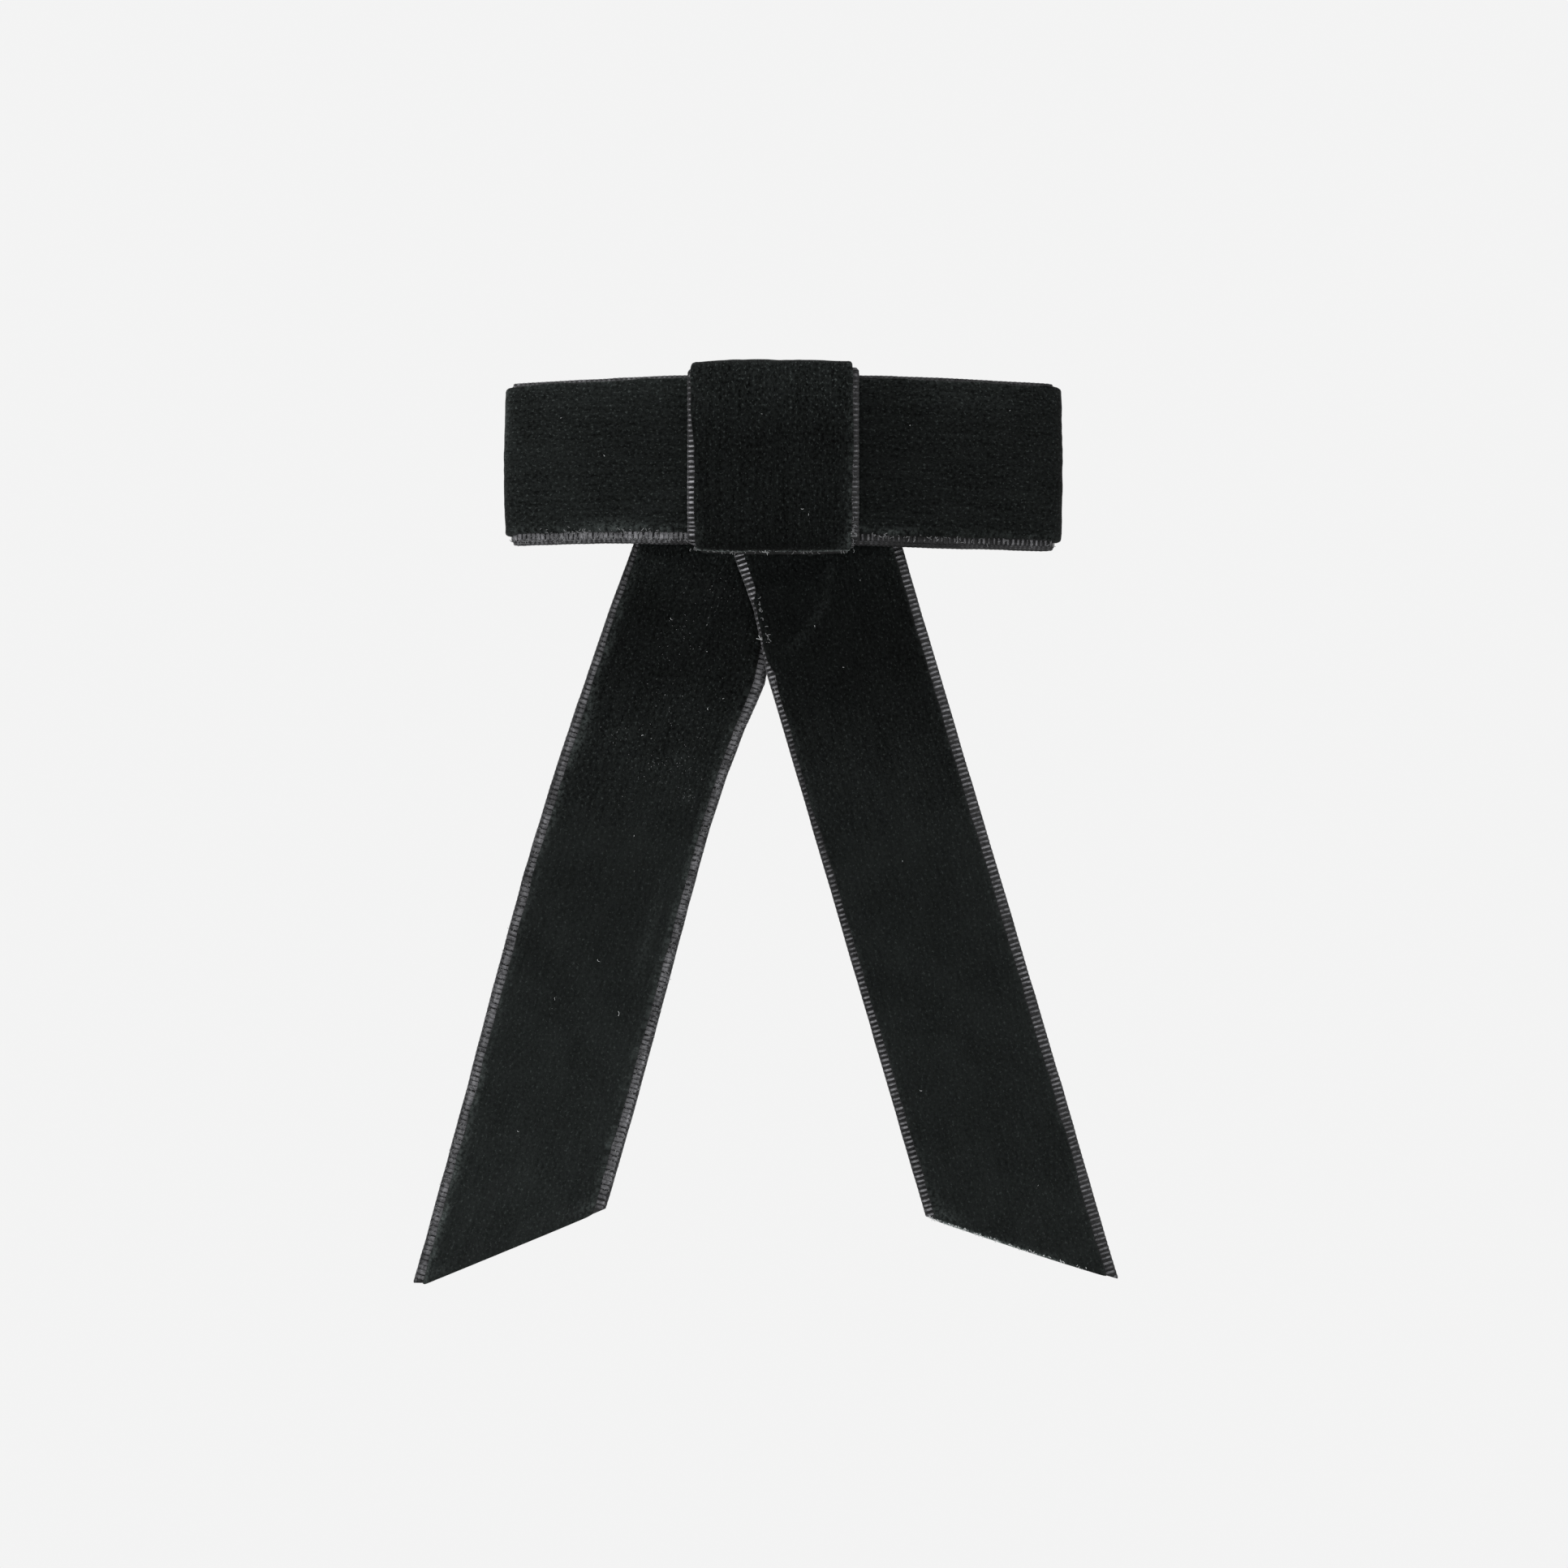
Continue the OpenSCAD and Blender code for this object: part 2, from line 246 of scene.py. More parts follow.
class Nodes:
    """Adds nodes to a shader tree. A node's input is a number, a colour or another node's output."""

    def __init__(self, tree):
        self.tree = tree

    def feed(self, node, socket, value):
        if isinstance(value, bpy.types.NodeSocket):
            self.tree.links.new(value, node.inputs[socket])
        else:
            node.inputs[socket].default_value = value

    def add(self, kind, inputs=None, **settings):
        node = self.tree.nodes.new("ShaderNode" + kind)
        for key, value in settings.items():
            setattr(node, key, value)
        for socket, value in (inputs or {}).items():
            self.feed(node, socket, value)
        return node

    def calc(self, operation, *values):
        return self.add("Math", dict(enumerate(values)), operation=operation).outputs[0]

    def times(self, first, second):
        return self.calc("MULTIPLY", first, second)

    def plus(self, *values):
        total = values[0]
        for value in values[1:]:
            total = self.calc("ADD", total, value)
        return total

    def scaled(self, vector, scale):
        """A vector or a colour times one number."""
        return self.add("VectorMath", {0: vector, "Scale": scale}, operation="SCALE").outputs[0]

    def noise(self, vector, scale=1, detail=2, roughness=0.5, stretch=None):
        if stretch:
            vector = self.add("VectorMath", {0: vector, 1: stretch}, operation="MULTIPLY").outputs[0]
        inputs = {"Vector": vector, "Scale": scale, "Detail": detail, "Roughness": roughness}
        return self.add("TexNoise", inputs).outputs["Fac"]

    def remap(self, value, to_low=0, to_high=1, low=0.3, high=0.7):
        """A value between low and high, moved smoothly to the range of the result."""
        inputs = {"Value": value, "From Min": low, "From Max": high, "To Min": to_low, "To Max": to_high}
        return self.add("MapRange", inputs, interpolation_type="SMOOTHSTEP").outputs["Result"]

    def mix(self, factor, first, second):
        """Two colours, mixed."""
        return self.add("Mix", {0: factor, 6: (*first, 1), 7: (*second, 1)}, data_type="RGBA").outputs[2]


class Look(Nodes):
    """A material with its node tree and its shader."""

    def __init__(self, name, **sockets):
        self.material = bpy.data.materials.new(name)
        self.material.use_nodes = True
        super().__init__(self.material.node_tree)
        self.shader = self.tree.nodes["Principled BSDF"]
        self.shade(**sockets)

    def shade(self, **sockets):
        """Feeds the shader's sockets, where a constant goes on the socket itself."""
        for socket, value in sockets.items():
            self.feed(self.shader, socket.replace("_", " "), value)

    def bump(self, height, distance, strength=1, under=None):
        inputs = {"Height": height, "Distance": distance, "Strength": strength}
        if under is not None:
            inputs["Normal"] = under
        self.shade(Normal=self.add("Bump", inputs).outputs[0])

    def on_ribbon(self):
        """Millimetres along and across a ribbon."""
        return self.add("UVMap", uv_map="ribbon").outputs[0]

    def on_object(self):
        return self.add("TexCoord").outputs["Object"]

    def painted(self, name):
        """A number that the mesh holds at each of its points."""
        return self.add("Attribute", attribute_name=name).outputs["Fac"]


def velvet_pile():
    """Cut pile: a deep black that hardly reflects, with flecks and faint streaks. Painted light and shade come
    from the tone_and_light attribute; crushed places are paler, with their sheen and highlights painted in.
    """
    look = Look(
        "velvet_pile", Roughness=1, Specular_IOR_Level=0.04, Sheen_Weight=0.03, Sheen_Roughness=0.45,
    )
    place = look.on_ribbon()
    grain = look.noise(place, stretch=(1.7, 2.1, 1), detail=3, roughness=0.65)
    streaks = look.noise(place, stretch=(0.06, 1.3, 1), detail=3, roughness=0.6)
    clouds = look.noise(place, scale=0.14)
    tufts = look.remap(look.noise(place, stretch=(2.1, 2.6, 1), roughness=0.6), low=0.57, high=0.72)
    uneven = look.plus(look.remap(grain, -0.62, 0.58), look.times(tufts, 3.8))
    uneven = look.plus(uneven, look.remap(streaks, -0.19, 0.19))
    uneven = look.plus(look.times(uneven, look.painted("nap")), look.remap(clouds, -0.14, 0.14))
    # Painted light and shade over the pile, from the tone_and_light attribute
    light = look.times(look.plus(1, uneven), look.painted("tone_and_light"))
    # Crushed places painted paler with their sheen, and painted highlights along some folds and creases
    crushed_and_sheen = look.times(look.painted("crush_and_sheen"), look.remap(grain, 1, 9, low=0.35, high=0.65))
    look.shade(Base_Color=look.scaled((0.00615, 0.00715, 0.0069), look.plus(light, crushed_and_sheen)))
    look.bump(grain, 0.12 * MM, 0.6)
    return look.material


def woven_ground():
    """The woven back of the ribbon: fine wefts, uneven warps that streak it, and rubbed patches."""
    look = Look("woven_ground", Specular_IOR_Level=0.14, Sheen_Weight=0.03, Sheen_Roughness=0.4)
    place = look.on_ribbon()
    along = look.add("SeparateXYZ", {0: place}).outputs[0]
    wefts = look.calc("SINE", look.times(along, 2 * math.pi / RIB_PITCH))
    warps = look.noise(place, stretch=(0.04, 2.4, 1), detail=3, roughness=0.7)
    fuzz = look.noise(place, stretch=(1.6, 2.2, 1), detail=3, roughness=0.7)
    patches = look.noise(place, scale=0.09, detail=3)
    light = look.plus(
        look.remap(warps, 0, 0.45), look.remap(fuzz, 0, 0.4), look.remap(patches, 0, 0.3, 0.35, 0.65),
        look.remap(wefts, -0.12, 0.12, -1, 1),
    )
    look.shade(
        Base_Color=look.mix(light, (0.003, 0.0031, 0.0033), (0.027, 0.027, 0.028)),
        Roughness=look.remap(warps, 0.45, 0.7),
    )
    look.bump(look.plus(warps, look.times(wefts, 0.35)), 0.1 * MM)
    return look.material


def selvage_thread():
    """Smooth charcoal yarn of the selvage, with filaments that run along each rib, and darker edge cords."""
    look = Look(
        "selvage_thread", Roughness=0.5, Specular_IOR_Level=0.13, Sheen_Weight=0.05, Sheen_Roughness=0.35,
    )
    place = look.on_ribbon()
    filaments = look.noise(place, stretch=(11, 1.2, 1), roughness=0.6)
    yarns = look.noise(place, scale=1.3, detail=3, roughness=0.7)
    light = look.plus(look.remap(filaments, 0, 0.6), look.remap(yarns, 0, 0.7, 0.35, 0.65))
    colour = look.mix(light, (0.028, 0.028, 0.03), (0.215, 0.215, 0.226))
    look.shade(Base_Color=look.scaled(colour, look.painted("tone_and_light")))
    look.bump(filaments, 0.03 * MM)
    return look.material


def plain_thread(name, dark, pale, roughness):
    """Spun fibre, a little fuzzy."""
    look = Look(name, Roughness=roughness)
    fuzz = look.noise(look.on_object(), scale=3 / MM, detail=3, roughness=0.7)
    look.shade(Base_Color=look.mix(fuzz, dark, pale))
    look.bump(fuzz, 0.03 * MM)
    return look.material


def dried_glue():
    """Clear fabric glue, dried to a yellowish skin with fine bubbles."""
    look = Look(
        "dried_glue", Transmission_Weight=0.35, IOR=1.45, Subsurface_Weight=0.3, Subsurface_Scale=0.4 * MM,
    )
    place = look.on_object()
    lumps = look.noise(place, scale=0.7 / MM, detail=3)
    bubbles = look.add("TexVoronoi", {"Vector": place, "Scale": 2.6 / MM}).outputs["Distance"]
    look.shade(
        Base_Color=look.mix(lumps, (0.62, 0.56, 0.42), (0.8, 0.77, 0.68)),
        Roughness=look.remap(lumps, 0.16, 0.42),
    )
    look.bump(look.plus(lumps, look.times(look.remap(bubbles, low=0, high=0.3), 0.3)), 0.12 * MM)
    return look.material


def plated_steel(name, colour, tarnish, grain, roughness):
    """Sheet steel with a thin plating: rolled grain, fine scratches, dull patches and softened edges."""
    look = Look(name, Metallic=1)
    place = look.on_object()
    rolled = look.noise(place, stretch=grain, scale=1 / MM, detail=4, roughness=0.65)
    patches = look.noise(place, scale=0.16 / MM, detail=3, roughness=0.6)
    scratches = look.noise(place, stretch=(0.5, 3, 2.2), scale=1 / MM, detail=1)
    scratches = look.remap(scratches, low=0.66, high=0.72)
    dull = look.remap(patches, low=0.42, high=0.68)
    level = look.plus(look.remap(rolled, roughness, roughness + 0.08), look.times(dull, 0.1))
    look.shade(
        Base_Color=look.mix(dull, colour, tarnish), Roughness=look.plus(level, look.times(scratches, 0.06)),
    )
    edge = look.add("Bevel", {"Radius": 0.12 * MM}, samples=4).outputs[0]
    look.bump(look.calc("SUBTRACT", rolled, look.times(scratches, 0.5)), 0.006 * MM, 0.6, under=edge)
    return look.material


def floor_paint():
    """Matt backdrop paint with a faint rolled texture, painted a little greyer under the lamps to even out
    their light.
    """
    look = Look("floor_paint", Roughness=0.9, Specular_IOR_Level=0.1)
    place = look.on_object()
    mottle = look.noise(place, scale=9, detail=4)
    away = look.add("VectorMath", {0: place}, operation="LENGTH").outputs["Value"]
    # Painted shade against the lamps' light: greyer near the middle, paler farther out
    pale = look.plus(look.remap(away, 0, 0.85, 0.2, 1.3), look.times(mottle, 0.15))
    look.shade(Base_Color=look.mix(pale, (0.56,) * 3, (0.9,) * 3))
    look.bump(look.noise(place, scale=400), 0.3 * MM, 0.3)
    return look.material


PILE = velvet_pile()
GROUND = woven_ground()
RIBS = selvage_thread()
SEWING = plain_thread("sewing_thread", (0.012, 0.012, 0.013), (0.035, 0.035, 0.038), 0.55)
RUBBED = plain_thread("rubbed_pile", (0.06, 0.061, 0.063), (0.24, 0.245, 0.25), 0.8)
LINT = plain_thread("lint", (0.22, 0.23, 0.23), (0.62, 0.64, 0.64), 0.8)
GLUE = dried_glue()
NICKEL = plated_steel("nickel_steel", (0.47, 0.465, 0.455), (0.42, 0.41, 0.395), (0.08, 3, 3), 0.17)
SPRING = plated_steel("spring_steel", (0.34, 0.35, 0.38), (0.3, 0.305, 0.32), (0.05, 4, 4), 0.24)


# ---------------- ribbon building


class Route:
    """A ribbon's run of straights and turns in a plane, and the place of any distance along it."""

    STEP = 0.05

    def __init__(self, start, heading, legs):
        here, turn = np.array(start, float), math.radians(heading)
        places, turns, lengths = [here.copy()], [turn], [0]
        self.marks = [0]
        for length, bend in legs:
            count = max(2, round(length / self.STEP))
            for _ in range(count):
                turn += math.radians(bend) / count / 2
                here = here + length / count * np.array([math.cos(turn), math.sin(turn)])
                turn += math.radians(bend) / count / 2
                places.append(here)
                turns.append(turn)
                lengths.append(lengths[-1] + length / count)
            self.marks.append(lengths[-1])
        self.places, self.turns, self.lengths = np.array(places), np.array(turns), np.array(lengths)
        self.length = lengths[-1]

    def __call__(self, s, v):
        """The two coordinates at s along the route and v out from it, on the right of its heading."""
        turn = np.interp(s, self.lengths, self.turns)
        across = np.interp(s, self.lengths, self.places[:, 0])
        up = np.interp(s, self.lengths, self.places[:, 1])
        return across + v * np.sin(turn), up - v * np.cos(turn)


def section(low, high, thick):
    """(u, v) round a ribbon for each ring: the back, the high selvage, the pile's top, the low selvage.
    low and high are where the pile's sides stand. Returns the points, and 1 where a point is in the pile."""
    rows = len(low)
    column = np.ones((rows, 1))
    low, high, thick = low[:, None], high[:, None], thick[:, None]
    rise = thick - GROUND_T
    edge = HALF_W - 0.12
    # The foot of each side of the pile stands halfway between its top and this place
    low_foot, high_foot = (low - 11.3) / 2, (high + 11.3) / 2

    def wall(foot, top, inward):
        steps = ((0, 0, 0), (0.1, 0.3, 0.35), (0.08, 1, 0.7), (-0.1, 1, 0.92), (-0.4, 1, 1))
        return [
            (foot + (top - foot) * blend - inward * out, GROUND_T + rise * part) for out, blend, part in steps
        ]

    back = [(u * column, 0 * column) for u in np.linspace(-edge, edge, 26)]
    high_edge = [(u * column, v * column) for u, v in ((HALF_W, 0.1), (HALF_W, 0.24), (edge, GROUND_T))]
    low_edge = [(-u, v) for u, v in reversed(high_edge)]
    high_flat = [((edge + high_foot) / 2, GROUND_T * column)]
    low_flat = [((low_foot - edge) / 2, GROUND_T * column)]
    high_wall = wall(high_foot, high, -1)
    low_wall = wall(low_foot, low, 1)[::-1]
    shares = np.linspace(0, 1, 48)[:, None, None]
    top = [(high - 0.8 + (low + 1.6 - high) * share, thick) for share in shares]
    points = back + high_edge + high_flat + high_wall + top + low_wall + low_flat + low_edge
    first = len(back) + len(high_edge) + len(high_flat)
    pile = np.zeros(len(points))
    pile[first:first + len(high_wall) + len(top) + len(low_wall)] = 1
    both = [np.concatenate([np.broadcast_to(p[k], (rows, 1)) for p in points], 1) for k in (0, 1)]
    return both[0], both[1], pile


def velvet(name, place, rings, low, high, thick, seed, tone_and_light, crush_and_sheen, glow, nap, to_cut=None, front=None):
    """A velvet ribbon as one closed mesh. place turns (s, u, v) into a place in the frame. At each x and z,
    tone_and_light is how pale the pile looks, as painted light and shade; crush_and_sheen where it is
    crushed and pale, with that sheen and some highlights painted in; glow how pale it is along its sides,
    and nap how uneven it looks. front is a place along a folded ribbon, from which the texture is measured
    over the pile."""
    def wavy(side, first):
        waves = 0.1 * rough(rings / 1.1, 0 * rings, first) + 0.14 * rough(rings / 4.2, 0 * rings, first + 1)
        return side(rings) + waves

    low, high = wavy(low, seed), wavy(high, seed + 2)
    u, v, pile = section(low, high, thick(rings))
    s = np.repeat(rings[:, None], u.shape[1], 1)
    if to_cut:
        s = to_cut(s, u)
    lumps = 0.05 * rough(s / 1.3, u / 0.9, seed + 4) + 0.07 * rough(s / 7, u / 5, seed + 5)
    v = v + pile * np.clip(v - GROUND_T, 0, 1) * lumps
    points = place(s, u, v)
    x, _, z = np.moveaxis(points, -1, 0)
    count = u.shape[1]
    faces = list(ring_quads(len(rings), count))
    kinds = [0 if pile[j] and pile[(j + 1) % count] else 1 for j in range(count)] * (len(rings) - 1)
    last = (len(rings) - 1) * count
    faces += [tuple(range(count)), tuple(range(last + count - 1, last - 1, -1))]
    kinds += [0, 0]
    inside = np.minimum(u - low[:, None], high[:, None] - u)
    ragged = np.clip(0.7 + 0.9 * rough(s / 0.9, u / 0.5, seed + 6), 0, None)
    edge_glow = ragged * glow(x, z, u) * np.exp(-((np.clip(inside, 0, None) / 0.6) ** 2))
    across = u + (v - GROUND_T) * np.sign(u) * pile
    over_pile = s
    if front is not None:
        crown = place(rings, 0 * rings, thick(rings))
        steps = distances(crown)
        over_pile = np.broadcast_to((steps - np.interp(front, rings, steps) + front)[:, None], s.shape)
    return make_piece(
        name, points.reshape(-1, 3), faces, [PILE, GROUND], kinds,
        uv=np.stack([over_pile, across], -1).reshape(-1, 2),
        second_uv=np.stack([s, across], -1).reshape(-1, 2),
        attributes={
            "tone_and_light": tone_and_light(x, z).ravel(),
            "crush_and_sheen": (edge_glow + crush_and_sheen(x, z, s, u, v)).ravel(),
            "nap": nap(x, z).ravel(),
        },
    )


# A rib's line from inside the pile to the edge cords: its share of the way, its height and its width
RIB_LINE = (
    (-0.12, 0.36, 0.6), (0.06, 0.43, 1), (0.26, 0.48, 1.1), (0.5, 0.47, 1.05), (0.76, 0.46, 1.1),
    (0.94, 0.41, 0.95), (1.04, 0.3, 0.7), (1.08, 0.18, 0.5),
)
# The cords that run along a ribbon's edge: how far in from the edge, their height, their radius. Where the
# ribs reach the edge there is only one
CORDS = {2: ((0.1, 0.19, 0.165), (0.32, 0.34, 0.115)), 1: ((0.06, 0.18, 0.125),)}
CORDS_W = {2: 0.38, 1: 0.12}
CORD_SHADE = 0.3
RINGS_PER_RIB = 4
TUBE_SIDES = 6


def ladder(name, place, low, high, end, seed, shade, cords, rib_w):
    """Both selvages, as one piece: a weft rib every RIB_PITCH from the pile to the edge, and the edge cords.
    end is the ribbon's length at each u, shade how pale the yarn looks, cords how many run along each edge,
    and rib_w half a rib's width at each place along."""
    draw = random.Random(seed)
    turn = all_round(TUBE_SIDES)
    points, faces, first = [], [], 0

    def tube(ring_s, ring_u, ring_v, ends):
        nonlocal first
        rings = np.concatenate([np.stack([ring_s, ring_u, ring_v], -1).reshape(-1, 3), ends])
        rings[:, 1] *= side
        loop = tube_faces(len(ring_s), TUBE_SIDES, first)
        points.append(rings)
        faces.extend(loop if side > 0 else [f[::-1] for f in loop])
        first += len(rings)

    for side, inner in ((-1, low), (1, high)):
        last = end(side * (HALF_W - 0.3)) - 0.3
        count = int(last / RIB_PITCH)
        start = last - count * RIB_PITCH
        for i in range(count + 1):
            middle = start + i * RIB_PITCH + draw.uniform(-0.05, 0.05)
            width = float(rib_w(middle)) * draw.uniform(0.87, 1.13)
            slant = draw.uniform(-0.05, 0.05)
            lift = draw.uniform(-0.02, 0.04)
            pile_edge = float(inner(middle)) * side
            # By a slanted cut the last ribs are cut short
            while end(side * pile_edge) < middle + width + 0.05 and pile_edge < HALF_W:
                pile_edge += 0.1
            span = HALF_W - CORDS_W[cords] - pile_edge
            if span < 0.2:
                continue
            line = np.array([(pile_edge + span * t, v + lift) for t, v, _ in RIB_LINE])
            wide = np.array([w for _, _, w in RIB_LINE]) * width
            along = unit(np.gradient(line, axis=0))
            out = np.stack([-along[:, 1], along[:, 0]], 1) * 0.1
            ring_s = middle + np.outer(wide, np.cos(turn)) + slant * (line[:, :1] - HALF_W)
            ends = np.array([[middle, *line[0]], [middle, *line[-1]]])
            ring_u = line[:, :1] + out[:, :1] * np.sin(turn)
            tube(ring_s, ring_u, line[:, 1:] + out[:, 1:] * np.sin(turn), ends)
        for k, (inward, height, radius) in enumerate(CORDS[cords]):
            last = end(side * (HALF_W - inward)) - 0.1
            along_s = np.linspace(0.15, last, round(last / RIB_PITCH * RINGS_PER_RIB))[:, None]
            sway = 0.02 * np.cos(along_s * 2 * math.pi / RIB_PITCH)
            sway = sway + 0.03 * rough(along_s / 3, 0 * along_s, seed + k)
            swell = radius * (1 + 0.06 * rough(along_s / 0.6, 0 * along_s, seed + 3 + k))
            ring_u = HALF_W - inward + sway + swell * np.cos(turn)
            ring_v = height + 0.5 * sway + swell * np.sin(turn)
            tips = along_s[0, 0] - 0.08, along_s[-1, 0] + 0.08
            ends = np.array([[tip, HALF_W - inward, height] for tip in tips])
            tube(along_s + 0 * turn, ring_u, ring_v, ends)
    s, u, v = np.concatenate(points).T
    in_frame = place(s, u, v)
    x, _, z = np.moveaxis(in_frame, -1, 0)
    cord = np.abs(u) > HALF_W - CORDS_W[cords] - 0.06
    worn = 1 + 0.35 * rough(s / 0.8, 0 * u, seed) + 0.25 * rough(s / 3.1, u, seed)
    dashes = CORD_SHADE * (1 + 0.7 * np.cos(s * 2 * math.pi / RIB_PITCH))
    tone_and_light = shade(x, z, u) * worn * np.where(cord, dashes, 1)
    # u and v in one texture direction keep the grain of the cords' undersides from stretching
    return make_piece(name, in_frame, faces, [RIBS], uv=np.stack([s, u + v], -1), attributes={"tone_and_light": tone_and_light})


def hold(ride, slot, *pieces, nodes=()):
    """Puts pieces on their body; slot is not used. The first one replaces the CAD nodes."""
    for piece in pieces:
        ride(piece)
    if nodes:
        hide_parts(*nodes)


def spots(x, z, patches):
    """Soft patches: each is a centre (x, z), two half sizes, a lean in degrees and a strength."""
    total = 0 * x
    for cx, cz, wide, tall, lean, strength in patches:
        a = math.radians(lean)
        across = (x - cx) * math.cos(a) + (z - cz) * math.sin(a)
        up = (z - cz) * math.cos(a) - (x - cx) * math.sin(a)
        total = total + strength * np.exp(-((across / wide) ** 2) - (up / tall) ** 2)
    return total


# ---------------- loops

FOLD_R = LOOP_T / 2 - PILE_T
LOOP_MID_R = ARCH_Y - (LOOP_FRONT + LOOP_BACK) / 2
LOOP_FLAT = LOOP_MID_R * math.asin((LOOP_END_X - LOOP_T / 2) / LOOP_MID_R)
LOOP_LAP_Y = LOOP_BACK - PILE_T - PRESSED_T
JOG_LEN, JOG_TURN = 3, 19.2
JOG_X = 2 * JOG_LEN / math.radians(JOG_TURN) * math.sin(math.radians(JOG_TURN))
loop_route = Route(
    (LAP_HALF, LOOP_LAP_Y), 180,
    [
        (2 * LAP_HALF, 0), (JOG_LEN, -JOG_TURN), (JOG_LEN, JOG_TURN), (LOOP_FLAT - LAP_HALF - JOG_X, 0),
        (math.pi * FOLD_R, 180), (2 * LOOP_FLAT, 0), (math.pi * FOLD_R, 180), (LOOP_FLAT + LAP_HALF, 0),
    ],
)
LEFT_FOLD = (loop_route.marks[4] + loop_route.marks[5]) / 2
RIGHT_FOLD = (loop_route.marks[6] + loop_route.marks[7]) / 2
LOOP_MIDDLE = (loop_route.marks[5] + loop_route.marks[6]) / 2
FOLDS = [fold + off for fold in (LEFT_FOLD, RIGHT_FOLD) for off in (-2, 0, 2)]

loop_low = curve(FOLDS, (-10.9, -11.2, -10.65, -10.95, -11.3, -10.95))
loop_high = curve(FOLDS, (12, 11.7, 12, 12, 11.7, 12))
loop_top_move = curve((-40, -28, -16, 16, 28, 40), (-0.25, -0.08, 0.18, 0.08, -0.12, -0.27))
loop_low_move = curve(
    (-42, -27, -18, -13, 13, 18, 23, 34, 42), (0.5, 0.53, 0.29, 0.2, 0, -0.15, -0.27, -0.31, -0.34),
)
# How pale the loops' pile is painted along x, as painted light: palest at the left end, darkest right of the
# band
loop_shine = curve((-43, -38, -30, -16, 12, 26, 36), (1.35, 1.12, 0.94, 0.82, 0.5, 0.64, 0.66))
loop_low_glow = curve(
    (-44, -30, -22, -13, 13, 18, 22, 26, 40), (0.25, 0.3, 0.45, 0.3, 0.4, 0.25, 0.02, 0.15, 0.15),
)
loop_ribs_worn = curve(
    (-42, -28, -18, -13, 13, 16, 20, 25, 30, 42), (0.8, 0.68, 0.7, 0.76, 0.4, 0.25, 0.1, 0.15, 0.45, 0.6),
)


def loop_place(s, u, v):
    """Loops lie along X, with u up. They sag a little to the right, and their ends bow outwards."""
    x, y = loop_route(s, v)
    near_end = smooth(np.abs(x), 32, 41)
    bow = 0.35 * near_end * (1 - (u / HALF_W) ** 2) - np.where(x < 0, 0.3, 0.2) * near_end
    z = u + loop_low_move(x) + (loop_top_move(x) - loop_low_move(x)) * smooth(u, -HALF_W, HALF_W)
    return bend_round(x + bow * np.sign(x), y, z, LOOP_MID_R)


def loop_thick(s):
    return PRESSED_T + (PILE_T - PRESSED_T) * smooth(s, loop_route.marks[1], loop_route.marks[3])


def loop_painted_light(x, z):
    # Painted light: paler along the top edge, and a little along the lower edge
    return loop_shine(x) * (1 + 0.3 * smooth(z, 6.5, 11.5) + 0.08 * smooth(z, -4, -10))


def loop_crush_and_sheen(x, z, s, u, v):
    """Crushed places, painted paler with their sheen, and a painted highlight of the pile's rim sheen round
    the left fold.
    """
    # Crushed pile, painted paler with its sheen
    patches = (
        (-26.5, -10, 4.5, 1.1, 6, 0.3), (-38, -10.6, 5, 0.6, 0, 0.1),
        (17.2, -10.7, 3.2, 0.4, 2, 0.28), (27, 9, 9, 1.6, -4, 0.05), (-17, -10.4, 2.5, 0.5, 0, 0.08),
    )
    # Painted highlight: the pile's rim sheen round the left fold
    rim = 0.45 * smooth(-x, 41.8, 42.7) + 0.6 * smooth(-x, 40.8, 42.4) * smooth(z, -2, 7)
    return spots(x, z, patches) + rim


def loop_glow(x, z, u):
    """The left loop's lower side is rubbed pale, and the right loop's only in places."""
    return np.where(u < 0, loop_low_glow(x), 0.08)


def loop_shade(x, z, u):
    """Where the ribs are worn pale, and where they are dull."""
    edge = 1 + 0.9 * (np.abs(u) > 12) * smooth(-x, 14, 24)
    return np.where(u < 0, loop_ribs_worn(x) * edge, np.interp(x, (-8, 8), (1.5, 0.5)))


loop_rings = np.arange(0, loop_route.length + 0.25, 0.5)
loop_velvet = velvet(
    "loop_velvet", loop_place, loop_rings, loop_low, loop_high, loop_thick, 11, loop_painted_light, loop_crush_and_sheen,
    loop_glow, lambda x, z: 0.95 + 0.08 * smooth(x, -8, 8), front=LOOP_MIDDLE,
)
loop_selvages = ladder(
    "loop_selvages", loop_place, loop_low, loop_high, lambda u: loop_route.length, 12, loop_shade, 2,
    lambda s: 0.3 - 0.135 * smooth(s, LOOP_MIDDLE - 6, LOOP_MIDDLE + 6),
)
hold(ride_bow, "black_velvet", loop_velvet, loop_selvages, nodes=["loop_ribbon"])


# ---------------- centre band

BAND_CORNER = 0.9
QUARTER = BAND_CORNER * math.pi / 2
BAND_LAP = 6.0
BAND_DEPTH = LOOP_BACK - (BAND_FRONT + PILE_T)
BAND_TALL = 2 * BAND_HALF_H
BAND_END = BAND_LAP + BAND_HALF_H - BAND_CORNER
band_route = Route(
    (LOOP_BACK, -BAND_LAP), 90,
    [
        (BAND_END, 0), (QUARTER, 90), (BAND_DEPTH - 2 * BAND_CORNER, 0), (QUARTER, 90),
        (BAND_TALL - 2 * BAND_CORNER, 0), (QUARTER, 90), (BAND_DEPTH + PRESSED_T - 2 * BAND_CORNER, 0),
        (QUARTER, 90), (BAND_END, 0),
    ],
)
BAND_TOP_S = band_route.marks[4]
BAND_BOTTOM_S = band_route.marks[5]
BAND_UNDER_S = band_route.marks[6]
BAND_FOLD_S = BAND_UNDER_S - 0.13

